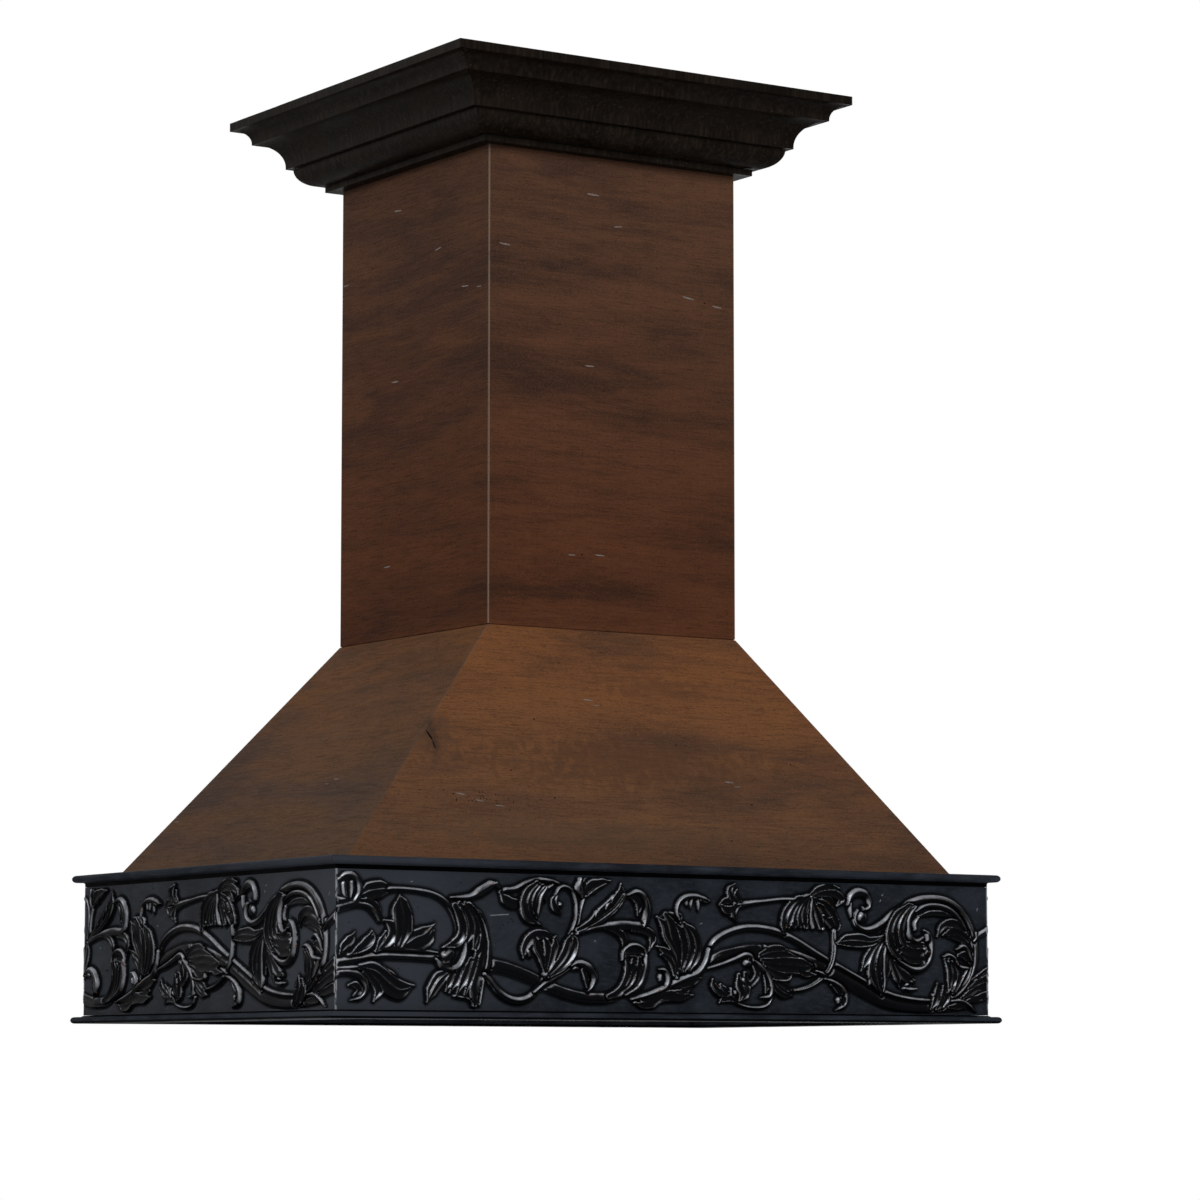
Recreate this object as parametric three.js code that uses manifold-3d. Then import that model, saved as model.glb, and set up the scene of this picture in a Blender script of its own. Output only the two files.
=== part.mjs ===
// Island range hood cover in stained wood.
// A carved apron between two moulded rails carries a tapered canopy, a square chimney and a crown moulding.
// It stands on its bottom rails here, and hangs from a ceiling in use. The front faces -Y, and Z is up.

import * as THREE from "three";
import { mergeVertices } from "three/addons/utils/BufferGeometryUtils.js";
import Module from "manifold-3d";

const wasm = await Module();
wasm.setup();

// Driving dimensions of the whole hood, in millimetres.
const overallWidth = 924;
const overallDepth = 628.6;
const overallHeight = 1114;
const apronHeight = 177.5;
const canopyHeight = 280;
const chimneyWidth = 349.3;
const chimneyDepth = 341.8;

// Hairline left between pieces that are glued or screwed together.
const jointGap = 0.25;
const mitreSetback = jointGap * Math.SQRT1_2;

// Cuts run past the faces that they open by this much.
const cutOverrun = 1;

// Apron: bottom rail, carved board and top rail.
const noseProjection = 11.8;
const railLedge = 45;
const bottomRailThickness = 9.5;
const bottomNoseHeight = 8;
const topRailThickness = 14.3;
const topNoseHeight = 9;
const railCove = 2.6;
const railSegments = 8;
const boardThickness = 22;
const cornerBlockLeg = 60;

// Carving on the apron boards.
const carvingMargin = 1.6;
const carvingHeight = 5;
const carvingEndHeight = 1.5;
const carvingEndFade = 35;
const stemStep = 30;
const leafStep = 24;

// Canopy panels and what stiffens them.
const panelThickness = 16;
const canopyInset = 30.4;
const battenLeg = 40;

// Chimney boards, posts and the two frames that tie them.
const chimneyBoard = 19;
const postSide = 38;
const frameRailWidth = 50;
const frameRailThickness = 19;

// Crown: cornice above, bed moulding below it, and a square strip at the foot.
const fasciaProjection = 103;
const fasciaHeight = 10.5;
const fasciaStep = 3;
const smallCove = 17;
const arrisHeight = 1.5;
const arrisStep = 1;
const largeCove = 30;
const corniceFoot = 2.5;
const corniceTopBoard = 20;
const corniceBackDepth = 26;
const bedReveal = 7;
const ovoloWidth = 26;
const ovoloHeight = 23;
const stripProjection = 16;
const stripHeight = 7.5;
const crownSegments = 7;

// Wood screws in the two frames.
const screwDiameter = 5;
const screwHeadDiameter = 10;
const screwHeadHeight = 3;
const screwLength = 50;
const screwPoint = 7;
const screwRecess = 0.4;
const boreClearance = 0.3;
const driveSocket = 3.5;
const driveSocketDepth = 1.8;
const driveSocketSides = 6;
const roundSides = 8;

// Half sizes of the rectangles that the pieces are built round.
const boardHalf = { width: overallWidth / 2 - noseProjection, depth: overallDepth / 2 - noseProjection };
const canopyFootHalf = { width: boardHalf.width - canopyInset, depth: boardHalf.depth - canopyInset };
const chimneyHalf = { width: chimneyWidth / 2, depth: chimneyDepth / 2 };
const canopyTop = apronHeight + canopyHeight;
const boardBottom = bottomRailThickness + jointGap;
const boardTop = apronHeight - topRailThickness - jointGap;

// Finishes.
const carvedBlack = { color: 0x15161b, roughness: 0.38 };
const crownBlack = { color: 0x15100c, roughness: 0.42 };
const stainedWalnut = { color: 0x3a1f14, roughness: 0.55 };
const canopyWalnut = { color: 0x4a2a18, roughness: 0.55 };
const rawWood = { color: 0xb48f63, roughness: 0.8 };
const zincSteel = { color: 0xb9bbbd, roughness: 0.35, metalness: 0.9 };

const hood = new THREE.Group();
const apron = new THREE.Group();
const canopy = new THREE.Group();
const chimney = new THREE.Group();
const crown = new THREE.Group();
canopy.position.z = apronHeight;
chimney.position.z = canopyTop;
crown.position.z = overallHeight;
hood.add(apron, canopy, chimney, crown);

// The four sides in turn, each the front side turned about Z. "deep" marks the two that run front to back.
const sides = [
  { name: "front", turn: 0, deep: false },
  { name: "right", turn: Math.PI / 2, deep: true },
  { name: "back", turn: Math.PI, deep: false },
  { name: "left", turn: -Math.PI / 2, deep: true },
];

// How far a side's own face lies from the centre, and half its length, for a rectangle of half sizes.
const faceOf = (half, side) => (side.deep ? half.width : half.depth);
const halfLengthOf = (half, side) => (side.deep ? half.depth : half.width);

function addMesh(group, name, geometry, finish, turn = 0) {
  const mesh = new THREE.Mesh(geometry, new THREE.MeshStandardMaterial(finish));
  mesh.name = name;
  mesh.rotation.z = turn;
  group.add(mesh);
  return mesh;
}

function solidOf(geometry) {
  const bare = geometry.clone();
  bare.deleteAttribute("normal");
  bare.deleteAttribute("uv");
  const merged = mergeVertices(bare);
  const vertProperties = new Float32Array(merged.attributes.position.array);
  const triVerts = new Uint32Array(merged.index.array);
  return new wasm.Manifold(new wasm.Mesh({ numProp: 3, vertProperties, triVerts }));
}

function geometryOf(solid) {
  const { vertProperties, triVerts } = solid.getMesh();
  const geometry = new THREE.BufferGeometry();
  geometry.setAttribute("position", new THREE.BufferAttribute(new Float32Array(vertProperties), 3));
  geometry.setIndex(new THREE.BufferAttribute(new Uint32Array(triVerts), 1));
  geometry.computeVertexNormals();
  return geometry;
}

// A section drawn in (out, up) is run along one side, and halfLengthAt gives its mitre at each point.
// It is laid as a front piece: out is -Y, up is +Z, and the left end as seen from outside is at -X.
function mitredRun(section, halfLengthAt, curveSegments = 1) {
  const geometry = new THREE.ExtrudeGeometry(section, { depth: 1, bevelEnabled: false, curveSegments });
  const position = geometry.attributes.position;
  for (let i = 0; i < position.count; i += 1) {
    const out = position.getX(i);
    const up = position.getY(i);
    const end = position.getZ(i) > 0.5 ? 1 : -1;
    position.setXYZ(i, -end * halfLengthAt(out, up), -out, up);
  }
  return geometry;
}

// Mitres at 45 degrees round a rectangle of half sizes.
const squareMitre = (half, side) => (out) =>
  halfLengthOf(half, side) + out - faceOf(half, side) - mitreSetback;

function polygon(points) {
  const shape = new THREE.Shape();
  shape.setFromPoints(points.map(([out, up]) => new THREE.Vector2(out, up)));
  return shape;
}

// Bottom rails: a round nose outside, a ledge inside that the hood liner's flange is screwed up against.
function bottomRailSection(face) {
  const shape = new THREE.Shape();
  const noseRadius = bottomNoseHeight / 2;
  const nose = face + noseProjection - noseRadius;
  shape.moveTo(face - railLedge, 0);
  shape.lineTo(nose, 0);
  shape.absarc(nose, noseRadius, noseRadius, -Math.PI / 2, Math.PI / 2);
  shape.lineTo(face + railCove, bottomNoseHeight);
  shape.lineTo(face, bottomRailThickness);
  shape.lineTo(face - railLedge, bottomRailThickness);
  shape.closePath();
  return shape;
}

// Top rails: the same nose with a small cove under it, on a flat shelf that the canopy stands on.
function topRailSection(face) {
  const shape = new THREE.Shape();
  const noseRadius = topNoseHeight / 2;
  const nose = face + noseProjection - noseRadius;
  const shelfBottom = apronHeight - topRailThickness;
  shape.moveTo(face - railLedge - panelThickness, shelfBottom);
  shape.lineTo(face, shelfBottom);
  shape.lineTo(face, apronHeight - topNoseHeight - railCove);
  shape.quadraticCurveTo(face, apronHeight - topNoseHeight, face + railCove, apronHeight - topNoseHeight);
  shape.lineTo(nose, apronHeight - topNoseHeight);
  shape.absarc(nose, apronHeight - noseRadius, noseRadius, -Math.PI / 2, Math.PI / 2);
  shape.lineTo(face - railLedge - panelThickness, apronHeight);
  shape.closePath();
  return shape;
}

for (const side of sides) {
  const face = faceOf(boardHalf, side);
  const mitre = squareMitre(boardHalf, side);
  const bottomRail = mitredRun(bottomRailSection(face), mitre, railSegments);
  const topRail = mitredRun(topRailSection(face), mitre, railSegments);
  addMesh(apron, `bottom_rail_${side.name}`, bottomRail, carvedBlack, side.turn);
  addMesh(apron, `top_rail_${side.name}`, topRail, carvedBlack, side.turn);
}

// Carved boards. The relief is a vine scroll with acanthus leaves and open flowers.
// Each stroke is a raised ridge along a spine. Spines are [along, up] in shares of the carved field's height,
// from the left end of the front board, and half widths are shares of the same height.
const fieldBottom = boardBottom + carvingMargin;
const fieldHeight = boardTop - carvingMargin - fieldBottom;
const widestShare = 0.06;
const patternLength = 2 * boardHalf.width;

const stemShares = [
  // The long vine, left to right.
  {
    spine: [[-0.08, 0.31], [0.15, 0.355], [0.4, 0.383], [0.7, 0.378], [0.95, 0.35]],
    half: [0.028, 0.03, 0.036],
  },
  {
    spine: [[1.28, 0.33], [1.45, 0.305], [1.65, 0.245], [2, 0.118], [2.22, 0.088], [2.42, 0.11], [2.54, 0.2]],
    half: [0.054, 0.046, 0.04],
  },
  {
    spine: [
      [2.57, 0.085], [2.83, 0.155], [3.08, 0.255], [3.23, 0.33],
      [3.29, 0.47], [3.45, 0.6], [3.75, 0.645],
    ],
    half: [0.02, 0.032, 0.03],
  },
  {
    spine: [[3.75, 0.645], [4.1, 0.555], [4.5, 0.36], [4.9, 0.185], [5.25, 0.105], [5.5, 0.09]],
    half: [0.03, 0.028, 0.024],
  },
  {
    spine: [
      [3.26, 0.38], [3.55, 0.44], [3.95, 0.455], [4.32, 0.36],
      [4.7, 0.195], [5.05, 0.065], [5.35, 0.04], [5.62, 0.06],
    ],
    half: [0.04, 0.05, 0.04],
  },
  // Side shoots that carry the flowers.
  { spine: [[-0.08, 0.695], [0.1, 0.755], [0.26, 0.75], [0.36, 0.63]], half: [0.03, 0.034, 0.012] },
  { spine: [[0.16, 0.78], [0.195, 0.87], [0.12, 0.965], [0.02, 0.935]], half: [0.032, 0.028, 0.012] },
  {
    spine: [[0.44, 0.872], [0.7, 0.862], [0.9, 0.8], [1.02, 0.66], [1.035, 0.55]],
    half: [0.02, 0.023, 0.028],
  },
  {
    spine: [[1.26, 0.26], [1.38, 0.13], [1.56, 0.067], [1.72, 0.14], [1.81, 0.28]],
    half: [0.024, 0.034, 0.024],
  },
  {
    spine: [[1.44, 0.885], [1.62, 0.935], [1.8, 0.965], [1.98, 0.92], [2.07, 0.78], [2.02, 0.56]],
    half: [0.024, 0.022, 0.026],
  },
  { spine: [[2.085, 0.6], [2.11, 0.74], [2.15, 0.86]], half: [0.022, 0.024] },
  { spine: [[3.56, 0.815], [3.8, 0.85], [4.1, 0.88], [4.25, 0.9]], half: [0.028, 0.018, 0.02] },
  {
    spine: [[4.475, 0.62], [4.465, 0.45], [4.37, 0.28], [4.2, 0.19], [4.03, 0.162]],
    half: [0.026, 0.024, 0.014],
  },
  {
    spine: [[4.7, 0.8], [4.68, 0.7], [4.82, 0.65], [5.02, 0.75], [5.18, 0.85]],
    half: [0.016, 0.028, 0.034],
  },
  // The great spiral at the right end, then the shoot that leaves it.
  {
    spine: [
      [5.14, 0.83], [5.32, 0.895], [5.52, 0.895], [5.73, 0.79],
      [5.86, 0.55], [5.83, 0.32], [5.68, 0.155], [5.52, 0.09],
    ],
    half: [0.026, 0.046, 0.04, 0.024],
  },
  { spine: [[5.86, 0.58], [5.94, 0.64], [6.06, 0.7]], half: [0.022, 0.03] },
];

const leafShares = [
  // Left: leaves on the vine.
  { spine: [[0.05, 0.38], [0.13, 0.47], [0.155, 0.56]], half: [0.02, 0.045, 0.006] },
  { spine: [[0.16, 0.39], [0.27, 0.46], [0.3, 0.57]], half: [0.02, 0.05, 0.006] },
  { spine: [[0.34, 0.41], [0.46, 0.52], [0.38, 0.645]], half: [0.02, 0.056, 0.008] },
  { spine: [[0.52, 0.42], [0.56, 0.6], [0.53, 0.83]], half: [0.03, 0.095, 0.006] },
  { spine: [[0.58, 0.42], [0.7, 0.51], [0.835, 0.625]], half: [0.03, 0.07, 0.006] },
  { spine: [[0.18, 0.3], [0.4, 0.2], [0.665, 0.165]], half: [0.03, 0.085, 0.006] },
  {
    spine: [[-0.08, 0.235], [0.12, 0.26], [0.24, 0.17], [0.12, 0.055]],
    half: [0.025, 0.035, 0.04, 0.006],
  },
  { spine: [[0.24, 0.27], [0.34, 0.17], [0.315, 0.05]], half: [0.03, 0.045, 0.008] },
  { spine: [[0.17, 0.8], [0.32, 0.86], [0.46, 0.87]], half: [0.02, 0.075, 0.024] },
  // Hanging acanthus.
  { spine: [[1, 0.78], [1.08, 0.6], [0.9, 0.45]], half: [0.03, 0.06, 0.008] },
  { spine: [[1.09, 0.79], [1.17, 0.6], [1.13, 0.4]], half: [0.03, 0.06, 0.02] },
  { spine: [[1.15, 0.77], [1.26, 0.57], [1.18, 0.33]], half: [0.03, 0.06, 0.02] },
  { spine: [[0.84, 0.365], [1.01, 0.3], [1.09, 0.47]], half: [0.02, 0.07, 0.014] },
  { spine: [[0.95, 0.27], [0.85, 0.18], [0.765, 0.045]], half: [0.03, 0.07, 0.008] },
  { spine: [[1.05, 0.32], [1, 0.2], [0.93, 0.12]], half: [0.03, 0.05, 0.01] },
  { spine: [[1.15, 0.36], [1.09, 0.22], [1.02, 0.1]], half: [0.03, 0.055, 0.012] },
  { spine: [[1.28, 0.52], [1.23, 0.27], [1.18, 0.03]], half: [0.02, 0.075, 0.03] },
  { spine: [[1.02, 0.82], [1.2, 0.85], [1.38, 0.92]], half: [0.02, 0.07, 0.03] },
  { spine: [[1.4, 0.87], [1.48, 0.79], [1.6, 0.82]], half: [0.02, 0.05, 0.008] },
  // Drooping leaf and top flower.
  { spine: [[1.74, 0.95], [1.62, 0.78], [1.76, 0.63]], half: [0.03, 0.06, 0.006] },
  { spine: [[1.85, 0.94], [1.73, 0.8], [1.72, 0.68]], half: [0.03, 0.055, 0.008] },
  { spine: [[2.15, 0.84], [2.09, 0.92], [2.13, 0.985]], half: [0.03, 0.05, 0.01] },
  { spine: [[2.15, 0.85], [2.24, 0.93], [2.38, 0.975]], half: [0.03, 0.055, 0.006] },
  // Open pod in the middle.
  { spine: [[1.82, 0.24], [1.97, 0.39], [2.04, 0.575]], half: [0.03, 0.075, 0.006] },
  { spine: [[1.81, 0.24], [1.85, 0.4], [1.87, 0.55]], half: [0.03, 0.055, 0.016] },
  { spine: [[1.8, 0.24], [1.74, 0.42], [1.69, 0.56]], half: [0.03, 0.06, 0.02] },
  { spine: [[1.83, 0.545], [1.66, 0.54], [1.595, 0.375]], half: [0.016, 0.045, 0.01] },
  {
    spine: [[1.98, 0.3], [2.13, 0.345], [2.235, 0.25], [2.175, 0.145]],
    half: [0.03, 0.04, 0.045, 0.008],
  },
  // Serrated leaf and hooked flower.
  { spine: [[2.05, 0.57], [2.3, 0.7], [2.475, 0.955]], half: [0.02, 0.075, 0.006] },
  { spine: [[2.06, 0.56], [2.3, 0.64], [2.47, 0.58], [2.49, 0.46]], half: [0.02, 0.04, 0.045, 0.008] },
  { spine: [[2.53, 0.855], [2.66, 0.895], [2.74, 0.78], [2.7, 0.62]], half: [0.01, 0.04, 0.055, 0.03] },
  { spine: [[2.49, 0.6], [2.7, 0.62], [2.735, 0.445]], half: [0.02, 0.045, 0.01] },
  { spine: [[2.42, 0.1], [2.54, 0.24], [2.53, 0.46]], half: [0.03, 0.05, 0.03] },
  { spine: [[2.54, 0.1], [2.64, 0.24], [2.66, 0.46]], half: [0.03, 0.065, 0.04] },
  // Great acanthus.
  { spine: [[2.8, 0.715], [2.91, 0.54], [2.99, 0.24]], half: [0.008, 0.06, 0.03] },
  { spine: [[2.87, 0.73], [3.01, 0.56], [3.02, 0.26]], half: [0.03, 0.07, 0.03] },
  { spine: [[3.04, 0.68], [3.14, 0.5], [3.08, 0.27]], half: [0.016, 0.07, 0.03] },
  { spine: [[2.8, 0.49], [2.93, 0.41], [2.98, 0.23]], half: [0.006, 0.045, 0.03] },
  { spine: [[2.6, 0.06], [2.86, 0.09], [3.14, 0.12]], half: [0.014, 0.055, 0.006] },
  { spine: [[3.01, 0.69], [3.02, 0.84], [3.15, 0.87], [3.3, 0.84]], half: [0.016, 0.04, 0.05, 0.006] },
  // Small flower, and the cluster below it.
  { spine: [[3.385, 0.815], [3.47, 0.8], [3.58, 0.82]], half: [0.008, 0.05, 0.02] },
  { spine: [[3.53, 0.98], [3.49, 0.9], [3.57, 0.82]], half: [0.006, 0.04, 0.02] },
  { spine: [[3.61, 0.3], [3.6, 0.18], [3.58, 0.085]], half: [0.03, 0.06, 0.01] },
  { spine: [[3.66, 0.42], [3.73, 0.29], [3.62, 0.2]], half: [0.03, 0.05, 0.016] },
  { spine: [[3.7, 0.42], [3.86, 0.25], [3.77, 0.11]], half: [0.03, 0.05, 0.008] },
  { spine: [[3.78, 0.4], [4, 0.37], [4.27, 0.355]], half: [0.03, 0.07, 0.008] },
  { spine: [[3.87, 0.24], [3.97, 0.16], [4.07, 0.12]], half: [0.02, 0.05, 0.006] },
  // Fan flower.
  { spine: [[4.23, 0.9], [4.05, 0.79], [3.99, 0.6]], half: [0.02, 0.055, 0.01] },
  { spine: [[4.24, 0.9], [4.14, 0.77], [4.12, 0.65]], half: [0.02, 0.055, 0.04] },
  { spine: [[4.26, 0.9], [4.26, 0.77], [4.28, 0.65]], half: [0.02, 0.055, 0.05] },
  { spine: [[4.28, 0.9], [4.42, 0.78], [4.48, 0.61]], half: [0.02, 0.07, 0.014] },
  { spine: [[4.24, 0.9], [4.4, 0.94], [4.54, 0.88]], half: [0.02, 0.06, 0.01] },
  // Small curls.
  { spine: [[4.38, 0.26], [4.56, 0.17], [4.48, 0.02]], half: [0.02, 0.045, 0.006] },
  { spine: [[4.6, 0.82], [4.66, 0.93], [4.79, 0.91], [4.75, 0.81]], half: [0.014, 0.045, 0.04, 0.01] },
  // Long leaf that meets the spiral, with its tongues.
  { spine: [[4.47, 0.54], [4.72, 0.55], [4.98, 0.58]], half: [0.012, 0.065, 0.02] },
  { spine: [[4.96, 0.58], [4.84, 0.46], [4.735, 0.325]], half: [0.03, 0.05, 0.008] },
  { spine: [[4.97, 0.57], [4.85, 0.34], [4.93, 0.135]], half: [0.03, 0.05, 0.006] },
  { spine: [[4.98, 0.57], [4.97, 0.38], [4.94, 0.16]], half: [0.03, 0.055, 0.008] },
  { spine: [[5.01, 0.5], [5.09, 0.32], [5.22, 0.2]], half: [0.03, 0.06, 0.01] },
  // Leaves that turn inside the spiral.
  { spine: [[5.2, 0.85], [5.02, 0.64], [5.14, 0.42]], half: [0.03, 0.06, 0.012] },
  { spine: [[5.24, 0.85], [5.11, 0.69], [5.13, 0.48]], half: [0.03, 0.055, 0.012] },
  { spine: [[5.27, 0.84], [5.19, 0.68], [5.34, 0.6]], half: [0.02, 0.05, 0.01] },
  { spine: [[5.36, 0.66], [5.42, 0.5], [5.3, 0.35], [5.06, 0.44]], half: [0.012, 0.045, 0.045, 0.01] },
  { spine: [[5.79, 0.64], [5.64, 0.71], [5.485, 0.6]], half: [0.03, 0.05, 0.008] },
  { spine: [[5.85, 0.42], [5.77, 0.54], [5.6, 0.6]], half: [0.03, 0.05, 0.01] },
  { spine: [[5.55, 0.45], [5.68, 0.36], [5.6, 0.15]], half: [0.012, 0.06, 0.03] },
  { spine: [[5.48, 0.24], [5.5, 0.14], [5.43, 0.035]], half: [0.012, 0.055, 0.012] },
  { spine: [[5.7, 0.11], [5.88, 0.2], [6.06, 0.25]], half: [0.02, 0.045, 0.05] },
];

// Ridge sections across a stroke, as [share of the half width, share of the crest].
// Stems are round, and leaves are sharp.
const stemSectionShares = [[-1, 0], [-0.55, 0.85], [0.55, 0.85], [1, 0]];
const leafSectionShares = [[-1, 0], [0.15, 1], [1, 0]];

// Value of a row of numbers at a share of its length.
function alongRow(row, share) {
  const place = share * (row.length - 1);
  const before = Math.min(Math.floor(place), row.length - 2);
  return THREE.MathUtils.lerp(row[before], row[before + 1], place - before);
}

// Full height of the relief at a place along a board: it sinks towards the board's two ends.
function crestHeight(along, halfLength) {
  const fromEnd = halfLength - Math.abs(along);
  const share = THREE.MathUtils.clamp(fromEnd / carvingEndFade, 0, 1);
  return THREE.MathUtils.lerp(carvingEndHeight, carvingHeight, share);
}

// One closed ridge that follows its spine over the board's face at "face" and stands on that face.
function carvedStroke(stroke, sectionShares, stepLength, face, halfLength) {
  const boardStart = halfLength - patternLength;
  const placed = ([along, up]) => new THREE.Vector3(along * fieldHeight, up * fieldHeight, 0);
  const knots = stroke.spine.map(placed);
  const spine = new THREE.CatmullRomCurve3(knots, false, "centripetal");
  const steps = Math.max(2, Math.round(spine.getLength() / stepLength));
  const ringSize = sectionShares.length;
  const vertices = [];
  const faces = [];
  for (let step = 0; step <= steps; step += 1) {
    const share = step / steps;
    const centre = spine.getPoint(share);
    const heading = spine.getTangent(share);
    const halfWidth = alongRow(stroke.half, share) * fieldHeight;
    const slimness = Math.min(1, Math.sqrt(halfWidth / (widestShare * fieldHeight)));
    for (const [across, rise] of sectionShares) {
      const along = boardStart + centre.x - heading.y * across * halfWidth;
      const up = centre.y + heading.x * across * halfWidth;
      const out = rise * slimness * crestHeight(along, halfLength);
      vertices.push(along, -(face + out), fieldBottom + up);
    }
  }
  for (let step = 0; step < steps; step += 1) {
    for (let corner = 0; corner < ringSize; corner += 1) {
      const next = (corner + 1) % ringSize;
      const a = step * ringSize + corner;
      const b = step * ringSize + next;
      faces.push(a, b + ringSize, b, a, a + ringSize, b + ringSize);
    }
  }
  const last = steps * ringSize;
  for (let corner = 1; corner < ringSize - 1; corner += 1) {
    faces.push(0, corner, corner + 1);
    faces.push(last, last + corner + 1, last + corner);
  }
  const geometry = new THREE.BufferGeometry();
  geometry.setAttribute("position", new THREE.Float32BufferAttribute(vertices, 3));
  geometry.setIndex(faces);
  return geometry;
}

// All four boards are cut from one carved pattern, so the side boards show its right-hand part.
// A board's ends are mitred up to its face, and the relief in front of the face is cut off square there.
for (const side of sides) {
  const face = faceOf(boardHalf, side);
  const halfLength = halfLengthOf(boardHalf, side);
  const mitre = squareMitre(boardHalf, side);
  const carvedEnd = (out) => mitre(Math.min(out, face));
  const plank = [
    [face - boardThickness, boardBottom],
    [face, boardBottom],
    [face, boardTop],
    [face - boardThickness, boardTop],
  ];
  const field = [
    [face - cutOverrun, fieldBottom],
    [face, fieldBottom],
    [face + carvingHeight + cutOverrun, fieldBottom],
    [face + carvingHeight + cutOverrun, fieldBottom + fieldHeight],
    [face, fieldBottom + fieldHeight],
    [face - cutOverrun, fieldBottom + fieldHeight],
  ];
  const strokes = [
    ...stemShares.map((stem) => carvedStroke(stem, stemSectionShares, stemStep, face, halfLength)),
    ...leafShares.map((leaf) => carvedStroke(leaf, leafSectionShares, leafStep, face, halfLength)),
  ];
  const shown = strokes.filter((stroke) => {
    stroke.computeBoundingBox();
    return stroke.boundingBox.max.x > -halfLength - carvingHeight;
  });
  const relief = shown.map(solidOf).reduce((sum, stroke) => sum.add(stroke));
  const fieldSolid = solidOf(mitredRun(polygon(field), carvedEnd));
  const board = solidOf(mitredRun(polygon(plank), mitre)).add(relief.intersect(fieldSolid));
  addMesh(apron, `carved_board_${side.name}`, geometryOf(board), carvedBlack, side.turn);
}

// Three-sided glue blocks behind the apron's mitres, between the two rails.
const corners = [
  { name: "front_left", x: -1, y: -1 },
  { name: "front_right", x: 1, y: -1 },
  { name: "back_right", x: 1, y: 1 },
  { name: "back_left", x: -1, y: 1 },
];

// A three-sided prism in the inner corner of a rectangle, its square corner at "foot" and "head".
function cornerPrism(corner, leg, foot, head) {
  const level = ({ width, depth, up }) => [
    [corner.x * width, corner.y * depth, up],
    [corner.x * (width - leg), corner.y * depth, up],
    [corner.x * width, corner.y * (depth - leg), up],
  ];
  const vertices = [...level(foot), ...level(head)].flat();
  const facesOut = [0, 2, 1, 3, 4, 5, 0, 1, 4, 0, 4, 3, 1, 2, 5, 1, 5, 4, 2, 0, 3, 2, 3, 5];
  const mirrored = corner.x * corner.y < 0;
  const faces = mirrored ? facesOut.slice().reverse() : facesOut;
  const geometry = new THREE.BufferGeometry();
  geometry.setAttribute("position", new THREE.Float32BufferAttribute(vertices, 3));
  geometry.setIndex(faces);
  geometry.computeVertexNormals();
  return geometry;
}

const blockCorner = {
  width: boardHalf.width - boardThickness - jointGap,
  depth: boardHalf.depth - boardThickness - jointGap,
};
for (const corner of corners) {
  const foot = { ...blockCorner, up: boardBottom };
  const head = { ...blockCorner, up: boardTop };
  addMesh(apron, `corner_block_${corner.name}`, cornerPrism(corner, cornerBlockLeg, foot, head), rawWood);
}

// Canopy: four slanted panels that run from the top rails in to the chimney's foot.
const slope = {
  width: (canopyFootHalf.width - chimneyHalf.width) / canopyHeight,
  depth: (canopyFootHalf.depth - chimneyHalf.depth) / canopyHeight,
};

// A panel's thickness measured level.
const levelThickness = {
  width: panelThickness * Math.hypot(1, slope.width),
  depth: panelThickness * Math.hypot(1, slope.depth),
};

for (const side of sides) {
  const foot = faceOf(canopyFootHalf, side);
  const lean = faceOf(slope, side);
  const thickness = faceOf(levelThickness, side);
  const crossFoot = halfLengthOf(canopyFootHalf, side);
  const crossLean = halfLengthOf(slope, side);
  const crossThickness = halfLengthOf(levelThickness, side);
  const low = jointGap;
  const high = canopyHeight - jointGap;
  const section = polygon([
    [foot - lean * low - thickness, low],
    [foot - lean * low, low],
    [foot - lean * high, high],
    [foot - lean * high - thickness, high],
  ]);
  const hip = (out, up) => {
    const depthShare = (foot - lean * up - out) / thickness;
    return crossFoot - crossLean * up - crossThickness * depthShare - mitreSetback;
  };
  addMesh(canopy, `canopy_panel_${side.name}`, mitredRun(section, hip), canopyWalnut, side.turn);
}

// Battens glued behind the hips, from the top rails up to the neck frame.
const insideAt = (up) => ({
  width: canopyFootHalf.width - slope.width * up - levelThickness.width - jointGap,
  depth: canopyFootHalf.depth - slope.depth * up - levelThickness.depth - jointGap,
  up,
});
const battenHead = canopyHeight - frameRailThickness - 2 * jointGap;
for (const corner of corners) {
  const batten = cornerPrism(corner, battenLeg, insideAt(jointGap), insideAt(battenHead));
  addMesh(canopy, `hip_batten_${corner.name}`, batten, rawWood);
}

// Corner posts of the chimney, and the screws that enter them from both ends.
const postHalf = {
  width: chimneyHalf.width - chimneyBoard - jointGap,
  depth: chimneyHalf.depth - chimneyBoard - jointGap,
};
const screwHalf = { width: postHalf.width - postSide / 2, depth: postHalf.depth - postSide / 2 };
const chimneyHeight = overallHeight - canopyTop;
const postBottom = jointGap;
const postTop = chimneyHeight - frameRailThickness - jointGap;
const screwRadius = screwDiameter / 2;
const headRadius = screwHeadDiameter / 2;

// Outline of a countersunk screw from its head's face to its point, grown by a clearance for its bore.
function screwOutline(clearance, headRise) {
  const neck = screwHeadHeight;
  return [
    [0, headRise],
    [headRadius + clearance, headRise],
    [headRadius + clearance, 0],
    [screwRadius + clearance, -neck],
    [screwRadius + clearance, -screwLength + screwPoint - clearance],
    [0, -screwLength - clearance],
  ];
}

// Turned about Z with its head up at "faceUp", or head down where "upward" is set.
function turned(outline, corner, faceUp, upward) {
  const points = outline.map(([radius, up]) => new THREE.Vector2(radius, up)).reverse();
  const geometry = new THREE.LatheGeometry(points, roundSides);
  geometry.rotateX(Math.PI / 2);
  if (upward) {
    geometry.rotateX(Math.PI);
  }
  geometry.translate(corner.x * screwHalf.width, corner.y * screwHalf.depth, faceUp);
  return geometry;
}

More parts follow.
